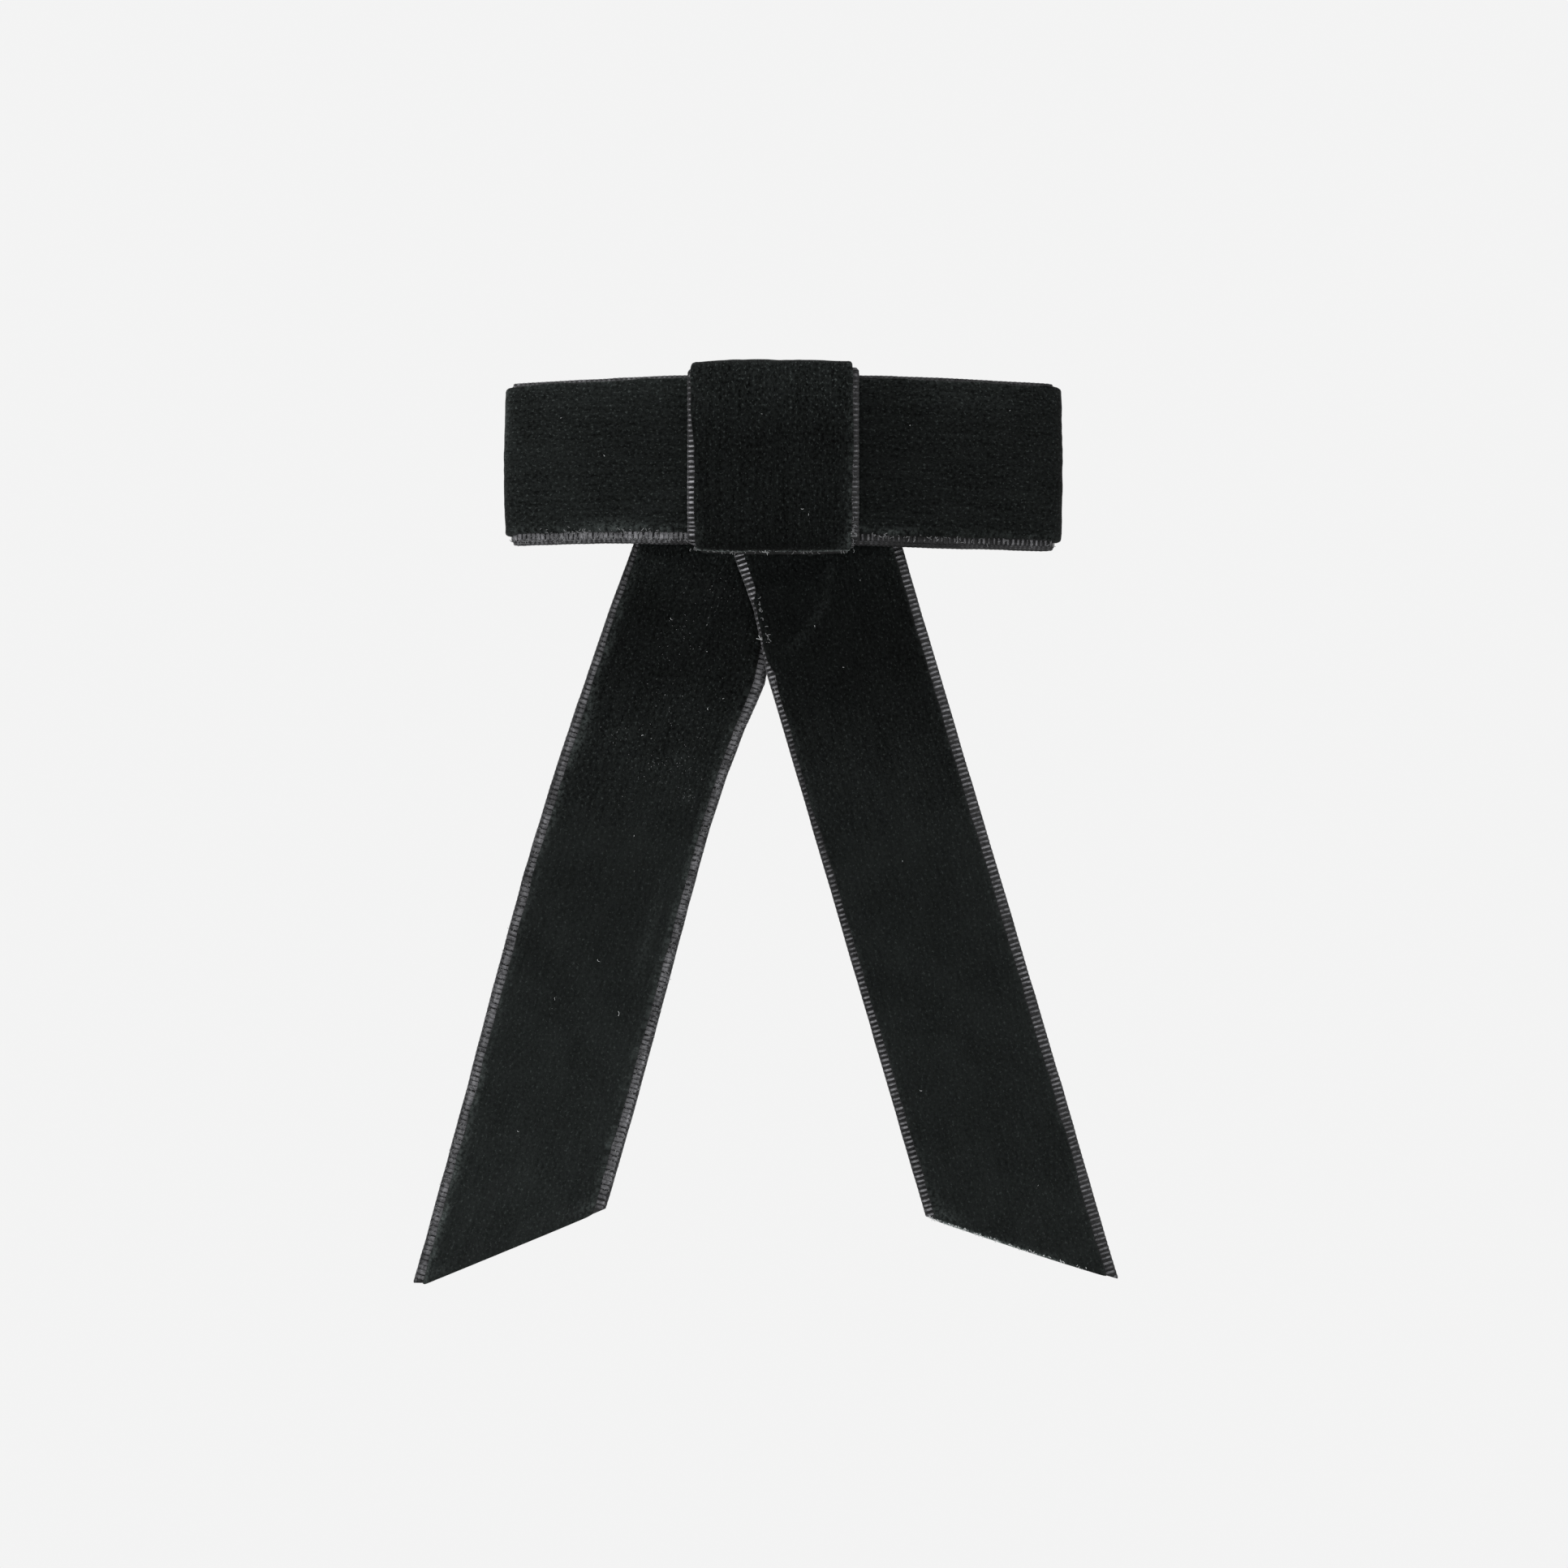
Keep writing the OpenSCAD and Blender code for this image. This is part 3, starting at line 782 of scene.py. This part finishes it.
band_low = curve(
    (BAND_TOP_S - 2, BAND_TOP_S + 4, BAND_TOP_S + 14, BAND_BOTTOM_S), (-12, -11.85, -11.4, -11.3),
)
band_high = curve((BAND_TOP_S - 2, BAND_TOP_S + 3, BAND_BOTTOM_S), (11.6, 11.45, 11.35))
# Strength of the pale line along the band's lower fold, across the band: parted pile and painted highlight
band_fold_wear_and_highlight = curve((-12, -8, -2, 6, 11), (1.6, 1.3, 0.8, 0.75, 1))
band_right_glow = curve((-13, -9, 0, 12), (0.5, 0.22, 0.16, 0.22))
band_left_ribs = curve((-12, -9, 2, 10), (0.8, 1.4, 1.3, 0.62))
# The right ribs painted darker, as shade under the pile
band_right_ribs_in_shade = curve((-12, -8, 4, 12), (0.24, 0.46, 0.44, 0.48))


def band_place(s, u, v):
    """The band runs down the front, with u to the right. Its top edge is arched, its bottom edge slants."""
    y, z = band_route(s, v)
    x = BAND_X + u * np.where(u < 0, BAND_SPREAD + 0.012, BAND_SPREAD - 0.004)
    arched_top = 0.78 - np.where(u < -3, 0.38, 0.04) * ((u + 3) / 8.5) ** 2 - 0.16 * smooth(u, -3.5, 1)
    raised_low = 0.45 + 0.32 * smooth(u, -5, -12.5) + 0.22 * smooth(u, 4, 12)
    z = z + arched_top * smooth(z, 6, 13.2) + raised_low * smooth(z, -8, -13.2)
    y = y - 0.25 * np.cos(np.clip(u / HALF_W, -1, 1) * math.pi / 2) * smooth(y, LOOP_FRONT + 1, LOOP_FRONT)
    return bend_round(x, y, z, ARCH_Y - BAND_FRONT)


def band_thick(s):
    """Thin where its laps are pressed behind the loops."""
    first, last = band_route.marks[1], band_route.marks[8]
    return PRESSED_T + (PILE_T - PRESSED_T) * (smooth(s, first - 3, first) * smooth(s, last + 3, last))


def band_painted_light(x, z):
    # Painted light: darkest along the lower edge, paler above it and much paler towards the top
    return 0.42 + 0.09 * smooth(z, -12, -7) + 0.43 * smooth(z, 2, 14)


def band_crush_and_sheen(x, z, s, u, v):
    """The pile parts along the lower fold, painted as a pale line that is also a painted highlight of its rim
    sheen, and lies crushed in the lower corners.
    """
    ragged = np.clip(0.75 + 0.8 * rough(u / 0.5, 0 * u, 31), 0.15, 1.5) * band_fold_wear_and_highlight(u)
    # Pale line along the lower fold: parted pile, and a painted highlight of its rim sheen
    parted_and_highlight = 2.8 * ragged * np.exp(-(((s - BAND_FOLD_S) / 0.16) ** 2))
    patches = (
        (9.2, -13, 1.3, 1.2, 30, 0.22), (9.8, -4, 0.5, 9, 0, 0.06), (-12.4, -12, 0.7, 2, 0, 0.14),
    )
    return parted_and_highlight + spots(x, z, patches)


def band_glow(x, z, u):
    return np.where(u < 0, 0.04, band_right_glow(z))


def band_shade(x, z, u):
    """The left ribs stand out brightly; the right ones hide half under the pile, painted darker as shade."""
    return np.where(u < 0, band_left_ribs(z), band_right_ribs_in_shade(z))


band_rings = np.concatenate([
    np.arange(0, BAND_BOTTOM_S, 0.4), np.arange(BAND_BOTTOM_S, BAND_UNDER_S + 0.3, 0.08),
    np.arange(BAND_UNDER_S + 0.4, band_route.length + 0.2, 0.4),
])
band_velvet = velvet(
    "band_velvet", band_place, band_rings, band_low, band_high, band_thick, 21, band_painted_light, band_crush_and_sheen,
    band_glow, lambda x, z: 1.25 + 0 * x, front=(BAND_TOP_S + BAND_BOTTOM_S) / 2,
)
band_selvages = ladder(
    "band_selvages", band_place, band_low, band_high, lambda u: band_route.length, 22, band_shade, 1,
    lambda s: 0.16,
)
hold(ride_bow, "black_velvet", band_velvet, band_selvages, nodes=["band_ribbon"])


# ---------------- tails

TAIL_R = ARCH_Y - TAILS_Y
HANG_FROM, HANG_TO = SWING_Z + 2.6, SWING_Z - 0.8
TIP_Z = -124.2
CUT_FROM = 100.0
CUT_RINGS = 64
# Heights at which the tails' painted light is given
LIGHT_TONE_PLACES = (-120, -105, -75, -52, -36, -29, -22, -18, -14)


def hanging(z):
    """0 in a tail's pressed root, and 1 where it hangs free."""
    return smooth(z, HANG_FROM, HANG_TO)


class Tail:
    """One tail. s runs down along it from the middle of the band, and u across it to the right.

    x, root_y and hang_y: where its middle line starts, and the depth of its back in its root and below
    ends: how long it is at its low side and at its high side
    low_stray, high_stray: how far each side strays from a straight cut of ribbon, along it
    low, high: where the pile's sides stand; cords and rib_w: as for a ladder
    light_tones: how pale the pile is at the LIGHT_TONE_PLACES, as painted light: paler just under the band,
    against its shadow, and towards the tips; nap: how uneven it is near the bow
    strip, worn, low_glow, high_glow, low_ribs, high_ribs: how pale those places are, down the tail or, for
    worn, across its cut; patches: as for spots"""

    def __init__(self, name, **details):
        self.name, self.left = name, name == "left"
        self.lean = -TAIL_LEAN if self.left else TAIL_LEAN
        vars(self).update(details)

    def place(self, s, u, v):
        low_side, high_side = np.clip(-u / HALF_W, 0, 1.1) ** 2, np.clip(u / HALF_W, 0, 1.1) ** 2
        u = u + low_side * self.low_stray(s) + high_side * self.high_stray(s)
        x = self.x + s * math.sin(self.lean) + u * math.cos(self.lean)
        z = -s * math.cos(self.lean) + u * math.sin(self.lean)
        y = self.root_y + (self.hang_y - self.root_y) * hanging(z) - v
        y = y + (TAIL_R - np.sqrt(TAIL_R**2 - x**2)) * smooth(z, -44, -13)
        y = y + 0.35 * (u / HALF_W) ** 4 * smooth(z, -30, -50)
        y = y + 0.8 * np.sin((z + 34) / 17) * smooth(z, -34, -62)
        return np.stack([x, y, z], -1)

    def front(self, x, z):
        """How far forward the pile stands, at a place seen from the front."""
        x = x - self.x
        s = x * math.sin(self.lean) - z * math.cos(self.lean)
        u = x * math.cos(self.lean) + z * math.sin(self.lean)
        return float(self.place(s, u, PILE_T + 0.05)[1])

    def cut(self, u):
        """How long the tail is at each u. The left one's tip is cut off level."""
        line = np.interp(u, (-HALF_W, HALF_W), self.ends)
        level = (-TIP_Z - u * math.sin(TAIL_LEAN)) / math.cos(TAIL_LEAN)
        return np.minimum(line, level) if self.left else line

    def to_cut(self, s, u):
        """The ring places, with the last ones pulled onto the slanted cut."""
        share = (s - CUT_FROM) / (max(self.ends) - CUT_FROM)
        return np.where(s < CUT_FROM, s, CUT_FROM + share * (self.cut(u) - CUT_FROM))

    def thick(self, s):
        return PRESSED_T + (PILE_T - PRESSED_T) * hanging(-s * math.cos(TAIL_LEAN))

    def tone_and_light(self, x, z):
        # Painted light: paler just under the band, against its shadow, and towards the tips
        return np.interp(z, LIGHT_TONE_PLACES, self.light_tones)

    def uneven(self, x, z):
        return np.interp(z, (-58, -40), (0.45, self.nap))

    def crush_and_sheen(self, x, z, s, u, v):
        """Crushed places painted paler with their sheen, and on the right tail a painted crease highlight; a
        paler strip by the left tail's outer selvage, and the right tail's worn cut.
        """
        if self.left:
            ragged = np.clip(0.8 + 0.9 * rough(s / 1.4, u / 0.7, 41), 0, 1.6)
            pale = self.strip(z) * ragged * np.exp(-(((u + 10.9) / 0.55) ** 2))
        else:
            torn = np.clip(0.8 + 0.6 * rough(u / 0.5, 0 * u, 43), 0.2, 1.6) * smooth(v, 0.6, 1.35)
            pale = self.worn(u) * torn * np.exp(-(((self.cut(u) - s) / 0.22) ** 2))
        return spots(x, z, self.patches) + pale

    def glow(self, x, z, u):
        """The pile's sides are rubbed pale on the left tail, and on the right one's inner side lower down."""
        return np.where(u < 0, self.low_glow(z), self.high_glow(z))

    def shade(self, x, z, u):
        """The paleness of the ribs, and on the left tail of its outermost cords."""
        edge = 1 + 0.6 * (np.abs(u) > 12) if self.left else 1
        return edge * np.where(u < 0, self.low_ribs(z), self.high_ribs(z))

    def make(self, seed):
        rings = np.concatenate([
            np.arange(TAIL_TOP, CUT_FROM, 0.5), np.linspace(CUT_FROM, max(self.ends), CUT_RINGS),
        ])
        body = velvet(
            self.name + "_tail_velvet", self.place, rings, self.low, self.high, self.thick, seed,
            self.tone_and_light, self.crush_and_sheen, self.glow, self.uneven, self.to_cut,
        )
        # A ladder starts at 0, and the tail at TAIL_TOP
        ribs = ladder(
            self.name + "_tail_selvages", lambda s, u, v: self.place(s + TAIL_TOP, u, v),
            lambda s: self.low(s + TAIL_TOP), lambda s: self.high(s + TAIL_TOP),
            lambda u: float(self.cut(u)) - TAIL_TOP, seed + 1, self.shade, self.cords, lambda s: self.rib_w,
        )
        hold(ride_tails, "black_velvet", body, ribs, nodes=[self.name + "_tail_root", self.name + "_tail"])
        return body, ribs


left_tail = Tail(
    "left", x=-7.1, root_y=LEFT_ROOT_BACK, hang_y=TAILS_Y + PILE_T, ends=(133.9, 114), cords=2, rib_w=0.325,
    low_stray=curve(
        (12, 18, 26, 42, 55, 68, 84, 102, 130), (1, 0.6, 0, -0.6, -1, -1.1, -0.85, -0.4, 0),
    ),
    high_stray=curve(
        (22, 27, 30.5, 34, 38, 46, 54, 66, 80, 100),
        (0.1, 0.5, 0.85, 0.45, -0.1, -0.75, -1, -0.8, -0.45, -0.1),
    ),
    low=curve((10, 30, 60, 100, 130), (-11.5, -11.2, -11.15, -11, -10.9)),
    high=curve((10, 32, 60, 85, 96, 113), (10.7, 10.75, 10.65, 10.7, 10.5, 10.4)),
    light_tones=(1.6, 1.51, 1.18, 1.04, 0.64, 0.49, 0.43, 0.65, 1.32), nap=1.05,
    strip=curve((-120, -108, -95, -80, -60, -48, -30), (0.65, 0.5, 0.38, 0.15, 0.08, 0.3, 0.22)),
    low_glow=lambda z: 0.1, high_glow=curve((-90, -50, -35), (0.3, 0.4, 0.1)),
    low_ribs=curve((-120, -80, -45, -16), (0.54, 0.58, 0.54, 0.41)),
    high_ribs=curve((-115, -60, -40, -16), (0.43, 0.56, 0.54, 0.37)),
    patches=(
        (-11, -19, 3, 2.6, 20, 0.025), (-16, -25.6, 3, 2.4, 20, 0.025),
        (-17, -36.3, 2, 2.6, -20, 0.03), (-24.6, -40.5, 2, 1.3, 0, 0.05),
        (-20.2, -45.6, 2.6, 1.3, -20, 0.06), (-15.3, -44.4, 1.8, 1.1, 0, 0.06),
        (-14.4, -50.3, 1.3, 0.9, 20, 0.08), (-29.6, -39.5, 0.8, 3.6, -16, 0.18),
        (-49, -105, 0.9, 5, -16, 0.14), (-37.6, -107.1, 1.4, 2, -30, 0.06),
        (-29.5, -112.5, 2.6, 0.9, 22, 0.22), (-52, -122.2, 1.6, 0.9, 22, 0.18),
        (-20.5, -72, 0.8, 7, -16, 0.1),
    ),
)
right_tail = Tail(
    "right", x=1.5, root_y=TAILS_Y, hang_y=TAILS_Y, ends=(115, 132.2), cords=1, rib_w=0.165,
    low_stray=curve((8, 14, 19, 25, 29, 34, 50, 110), (0, 0.4, 0.75, 0.4, -0.05, 0, 0.05, 0.15)),
    high_stray=curve((30, 50, 77, 102, 125, 132), (0, 0.05, 0.2, 0.4, 0.4, 0.45)),
    low=curve(
        (10, 14.5, 16.5, 18.5, 27.5, 29.5, 36, 47, 60, 85, 110),
        (-10.6, -10.7, -10.9, -12.1, -12.1, -11.4, -11.5, -11.75, -11.45, -11.2, -11),
    ),
    high=curve((10, 30, 47, 77, 102, 130), (11.1, 10.85, 10.7, 10.8, 10.85, 10.8)),
    light_tones=(1.24, 1.16, 1.02, 0.94, 0.48, 0.39, 0.37, 0.54, 1), nap=0.9,
    worn=curve((-12.5, -9, -2, 5, 9), (7, 6, 4.5, 1.5, 0)),
    low_glow=curve((-100, -60, -45, -30), (0.12, 0.05, 0.12, 0.05)), high_glow=lambda z: 0.04,
    low_ribs=curve((-115, -75, -48, -33, -29, -23, -20, -14), (0.95, 0.75, 0.4, 1.2, 1.3, 1.2, 2, 2)),
    high_ribs=curve((-118, -104, -90, -45, -16), (0.44, 0.52, 0.62, 0.63, 0.8)),
    patches=(
        # Crushed places near the top, with painted sheen; the slanting streaks include a painted crease
        # highlight
        (7, -16.5, 0.7, 2.4, -12, 0.1), (5.4, -22.5, 0.8, 2.8, -30, 0.09),
        (2.4, -26.8, 2.2, 0.9, 40, 0.07), (24.5, -113.4, 2.4, 0.9, -18, 0.24),
        (23.2, -111, 0.8, 2.2, 16, 0.14), (36, -118.2, 8, 0.45, -18, 0.12),
    ),
)
left_velvet, left_selvages = left_tail.make(51)
right_velvet, right_selvages = right_tail.make(61)


# ---------------- stitches, glue and specks

PLY_REACH = 0.085
PLY_TWIST = 0.95
THREAD_R = 0.1
RUBBED_R = 0.042
BOW_LINT_R, TAIL_LINT_R = 0.028, 0.03
FRAY_R = 0.05


def plies(line, count=2):
    """The plies of a twisted thread along a line."""
    line = np.asarray(line, float)
    steps = distances(line)
    fine = np.arange(0, steps[-1], 0.12)
    line = np.stack([np.interp(fine, steps, line[:, k]) for k in range(3)], 1)
    _, side, up = line_frame(line)
    for ply in range(count):
        turn = (fine / PLY_TWIST + ply / count) * 2 * math.pi
        yield line + PLY_REACH * (np.cos(turn)[:, None] * side + np.sin(turn)[:, None] * up)


def stitch_line(half_len, leg_len, lie=0.18, bend=0.25):
    """A stitch seen from the side: (along, out) from one leg, over its bar and down the other leg."""
    half = [
        (half_len, -leg_len), (half_len, lie - bend), (half_len - bend * 0.3, lie - bend * 0.3),
        (half_len - bend, lie),
    ]
    return [(-along, out) for along, out in half] + [(0, lie + 0.05)] + half[::-1]


def sewn(name, seats, half_len, leg_len, upright, side, seed, node):
    """Stitches of twisted thread. Each seat is (x, y, z) on the layer that the thread lies on, and side is 1
    where it lies behind that layer, -1 in front."""
    draw = random.Random(seed)
    lines = []
    for x, y, z in seats:
        skew = draw.uniform(-0.18, 0.18)
        row = []
        for along, out in stitch_line(half_len, leg_len):
            astray = skew * along / half_len
            over, up = (astray, along) if upright else (along, astray)
            row.append(bend_round(x + over, y + side * out, z + up, ARCH_Y - y))
        lines += plies(row)
    hold(ride_bow, "black_thread", tubes_piece(name, lines, THREAD_R, SEWING), nodes=[node])


plate_seats = [(x, PLATE_BACK, 0) for x in np.arange(-5.8, 3.3, 1.5)]
tail_seats = [(x, LEFT_ROOT_BACK, 5.6) for x in np.arange(-9, 3.1, 3)]
loop_seats = [(x, LOOP_LAP_Y, z) for x in (-LAP_HALF + 1.5, LAP_HALF - 1.5) for z in (-8, -2.7, 2.7, 8)]
sewn("plate_thread", plate_seats, 4.9, 1.85, True, 1, 71, "plate_stitches")
sewn("tail_thread", tail_seats, 0.9, 1.5, False, 1, 72, "tail_stitches")
sewn("loop_thread", loop_seats, 1.1, 1.7, False, -1, 73, "loop_stitches")

GLUE_HALF_W, GLUE_HALF_H = 11.2, 4.95
PLATE_HALF_H = 4.5


def glue_bead():
    """Glue between the tails and the plate, squeezed out past the plate's edges in a wavy bead."""
    around, across = 160, 12
    turn = all_round(around)
    blunt = (np.abs(np.cos(turn)) ** 6 + np.abs(np.sin(turn)) ** 6) ** (-1 / 6)
    waves = 1 + 0.05 * rough(turn * 5, 0 * turn, 81) + 0.04 * rough(turn * 11, 0 * turn, 82)
    rim_x, rim_z = GLUE_HALF_W * blunt * np.cos(turn) * waves, GLUE_HALF_H * blunt * np.sin(turn) * waves
    points, faces = [], []
    for front in (True, False):
        for ring in range(across):
            share = math.sin((ring + 1) / across * math.pi / 2)
            x, z = BAND_X + rim_x * share, rim_z * share
            puff = math.sqrt(max(0, 1 - share**8))
            out = np.clip(np.abs(z) - PLATE_HALF_H, 0, 1)
            y = LEFT_ROOT_BACK + (-0.05 if front else (0.3 + 0.35 * smooth(out, 0.02, 0.25)) * puff)
            points.append(bend_round(x, y + 0 * x, z, ARCH_Y - LEFT_ROOT_BACK))
    for layer in (0, across):
        faces += [quad if layer else quad[::-1] for quad in ring_quads(across, around, layer * around)]
    a, b = (across - 1) * around, (2 * across - 1) * around
    faces += [(a + j, a + (j + 1) % around, b + (j + 1) % around, b + j) for j in range(around)]
    faces += [tuple(range(around)), tuple(range(across * around + around - 1, across * around - 1, -1))]
    piece = make_piece("glue_bead", np.concatenate(points), faces, [GLUE])
    hold(ride_bow, "fabric_glue", piece, nodes=["glue_layer"])


glue_bead()


def fibre(x, y, z, size, draw, steps=8):
    """A short curled fibre that lies on a face which looks to -Y."""
    turn, curl = draw.uniform(0, 2 * math.pi), draw.uniform(-2.2, 2.2)
    line, here = [], np.array([x, y, z], float)
    for _ in range(steps + 1):
        line.append(here.copy())
        here = here + size / steps * np.array([math.cos(turn), draw.uniform(-0.15, 0.15), math.sin(turn)])
        turn += curl / steps
    return line


def rubbed_fibres(name, ride, fields, seed, sizes=(0.25, 0.6), gathered=False):
    """Pile fibres rubbed out over the selvages, the folds and the pile. A field is the ribbon's place
    function, how many fibres, and the ranges of s, u and v that they lie in. Gathered ones lie thickest in
    its middle."""
    draw = random.Random(seed)
    pick = draw.triangular if gathered else draw.uniform
    lines = []
    for place, count, *ranges in fields:
        for _ in range(count):
            s, u, v = (pick(*ends) for ends in ranges)
            lines.append(fibre(*place(s, u, v), draw.uniform(*sizes), draw, steps=5))
    hold(ride, "black_velvet", tubes_piece(name, lines, RUBBED_R, RUBBED, sides=4))


def on_loops(*places):
    """How far along the loop ribbon those places on its front lie."""
    return [loop_route.marks[5] + LOOP_FLAT + x for x in places]


rubbed_fibres("rubbed_fibres_on_bow", ride_bow, (
    (loop_place, 260, on_loops(-43.2, -13), (-12.3, -11.1), (0.4, 0.62)),
    (loop_place, 70, on_loops(-36, -18), (-11.2, -10.3), (0.95, 1.52)),
    (loop_place, 45, on_loops(13, 26), (-11.6, -10.9), (0.55, 1.3)),
    (loop_place, 25, on_loops(26, 42), (-12, -11), (0.45, 0.8)),
    (band_place, 50, (BAND_TOP_S + 1, BAND_BOTTOM_S - 1), (11, 11.8), (0.5, 1)),
    (band_place, 50, (BAND_BOTTOM_S - 1.5, BAND_UNDER_S), (10.6, 11.9), (0.6, 1.52)),
    (band_place, 90, (BAND_FOLD_S - 0.2, BAND_FOLD_S + 0.1), (-12.2, 11.8), (1.5, 1.54)),
), 92)
rubbed_fibres("rubbed_fibres_on_tails", ride_tails, (
    (left_tail.place, 350, (60, 128), (-12.3, -11.1), (0.36, 0.56)),
    (left_tail.place, 420, (36, 112), (10.9, 12.2), (0.36, 0.56)),
    (right_tail.place, 12, (29, 36), (-12.2, -11.4), (0.5, 1.2)),
    (right_tail.place, 16, (17.5, 25.5), (-11.4, -11.2), (1.5, 1.54)),
), 93)
# Flecks on the left tail: how many, and the ranges of s and u that they lie in
FLECKS = (
    (23, (15, 24), (-3, 6)), (26, (23, 32), (-6.5, 4.5)), (18, (33, 42), (-3, 4)),
    (11, (41, 47), (-9, -2)), (20, (45, 50.5), (-3.5, 4)), (18, (42, 48), (1, 8.5)),
    (17, (48, 52.5), (5, 9)), (42, (12, 66), (-10, 10)),
)
ON_PILE = (1.5, 1.56)
rubbed_fibres(
    "flecks_on_left_tail", ride_tails, [(left_tail.place, *field, ON_PILE) for field in FLECKS], 94,
    sizes=(0.08, 0.18), gathered=True,
)

# Specks and short fibres caught in the pile: (x, z, length) for each
LOOP_LINT = ((-33.4, 6.6, 0.5), (-26.6, 0.7, 0.3), (19, 5.2, 0.2), (34, 7.8, 0.2))
BAND_LINT = ((-3, 6.4, 0.2), (2.7, -7.6, 0.4), (3.8, -8.6, 0.3))
LEFT_LINT = (
    (-17, -23.1, 0.35), (-11.5, -24.3, 0.2), (-11.3, -37.1, 0.4), (-17.9, -34.7, 0.2), (-21.1, -40.9, 0.35),
    (-11.6, -28.2, 0.2), (-28, -74.8, 0.5), (-34.5, -81, 0.7), (-22.5, -56, 0.25), (-40, -101, 0.3),
    (-34.9, -82.3, 0.9), (-24.9, -83.4, 0.8), (-15.2, -34.9, 0.2), (-8.9, -35.4, 0.25), (-20, -41.4, 0.2),
)
RIGHT_LINT = (
    (4.8, -24.6, 0.3), (11.7, -17.6, 0.2), (9, -30.7, 0.25), (18, -60, 0.2), (21, -94.6, 0.4),
    (38.5, -109, 0.2),
)


def lint():
    draw = random.Random(91)
    lines = []
    for specks, front in ((LOOP_LINT, LOOP_FRONT - 0.05), (BAND_LINT, BAND_FRONT - 0.3)):
        for x, z, size in specks:
            lines.append(fibre(x, ARCH_Y - math.sqrt((ARCH_Y - front) ** 2 - x * x), z, size, draw))
    # A speck of fluff that hangs from the band's lower fold
    for _ in range(8):
        x, y = -2.75 + draw.uniform(-0.3, 0.3), BAND_FRONT + draw.uniform(1.3, 1.8)
        lines.append(fibre(x, y, -13.9, 0.45, draw))
    hold(ride_bow, "black_velvet", tubes_piece("lint_on_bow", lines, BOW_LINT_R, LINT, sides=5))
    lines = []
    for tail, specks in ((left_tail, LEFT_LINT), (right_tail, RIGHT_LINT)):
        lines += [fibre(x, tail.front(x, z), z, size, draw) for x, z, size in specks]
    hold(ride_tails, "black_velvet", tubes_piece("lint_on_tails", lines, TAIL_LINT_R, LINT, sides=5))


def frays():
    """Short loose yarns along the right tail's cut, and one pulled knot on its inner edge."""
    draw = random.Random(95)
    lines = []
    for _ in range(110):
        u = -12 + 21 * draw.random() ** 1.6
        s = float(right_tail.cut(u)) + draw.uniform(-0.32, -0.06)
        x, y, z = right_tail.place(s, u, PILE_T * draw.uniform(0.9, 1))
        lines.append(fibre(x, y - 0.1, z, draw.uniform(0.15, 0.38), draw))
    x, y, z = right_tail.place(24.4, -12.3, 0.6)
    for _ in range(6):
        lines.append(fibre(x, y - 0.15, z + 0.2, 0.9, draw))
    piece = tubes_piece("frayed_yarns", lines, FRAY_R, LINT, sides=5)
    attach(piece, "tails")


lint()
frays()


# ---------------- steel parts

STEEL_LOOKS = {
    NICKEL: ("barrette_plate", "hinge_pin", "clasp_bar", "latch_frame", "latch_rivet"),
    SPRING: ("spring_left_half", "spring_right_half", "latch_arm_upper", "latch_arm_lower"),
}
for steel, names in STEEL_LOOKS.items():
    for name in names:
        for material_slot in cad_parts[name].material_slots:
            material_slot.material = steel


# ---------------- floor, light and camera

FLOOR_Z = -600.0
FLOOR_R = 1350.0
FLOOR_SIDES = 96
CAMERA_DISTANCE = 420.0
FIELD_X, FIELD_Z = 0.18, -48.3
LENS, SENSOR = 63.7, 36.0
LIT_Z = -50.0


def make_floor():
    turn = all_round(FLOOR_SIDES)
    rim = np.stack([FLOOR_R * np.cos(turn), FLOOR_R * np.sin(turn), 0 * turn + FLOOR_Z], -1)
    mesh = bpy.data.meshes.new("floor")
    mesh.from_pydata((rim * MM).tolist(), [], [tuple(range(FLOOR_SIDES))])
    mesh.materials.append(floor_paint())
    floor = add_object("floor", mesh)


def soft_light(name, size, power, x, y, z):
    """A round lamp at a place in millimetres, turned to the middle of the bow."""
    lamp = bpy.data.lights.new(name, "AREA")
    lamp.shape, lamp.size, lamp.energy = "DISK", size * MM, power
    light = add_object(name, lamp)
    light.location = (x * MM, y * MM, z * MM)
    light.rotation_euler = (math.pi / 2 + math.atan2(LIT_Z - z, math.hypot(x, y)), 0, math.atan2(x, -y))
    light.visible_camera = False


def pale_world():
    """An even pale studio: the backdrop's tone all round, and a dimmer ceiling for the steel's contrast."""
    world = bpy.data.worlds.new("studio")
    bpy.context.scene.world = world
    world.use_nodes = True
    nodes = Nodes(world.node_tree)
    up = nodes.add("SeparateXYZ", {0: nodes.add("TexCoord").outputs["Generated"]}).outputs[2]
    ceiling = nodes.remap(up, low=0.5, high=0.85)
    colour = nodes.mix(ceiling, (0.9,) * 3, (0.66,) * 3)
    nodes.feed(nodes.tree.nodes["Background"], 0, colour)


def make_camera():
    """Straight on, at the middle of the picture's field."""
    lens = bpy.data.cameras.new("camera")
    lens.lens, lens.sensor_width, lens.clip_start = LENS, SENSOR, 0.01
    camera = add_object("camera", lens)
    camera.location = (FIELD_X * MM, (TAILS_Y - CAMERA_DISTANCE) * MM, FIELD_Z * MM)
    camera.rotation_euler = (math.pi / 2, 0, 0)
    bpy.context.scene.camera = camera


make_floor()
soft_light("key", 500, 5.0, -450, -600, 520)
soft_light("fill", 700, 2.5, 600, -500, -60)
soft_light("back", 500, 2.6, -300, 650, 480)
pale_world()
make_camera()
bpy.context.scene.view_settings.view_transform = "Standard"
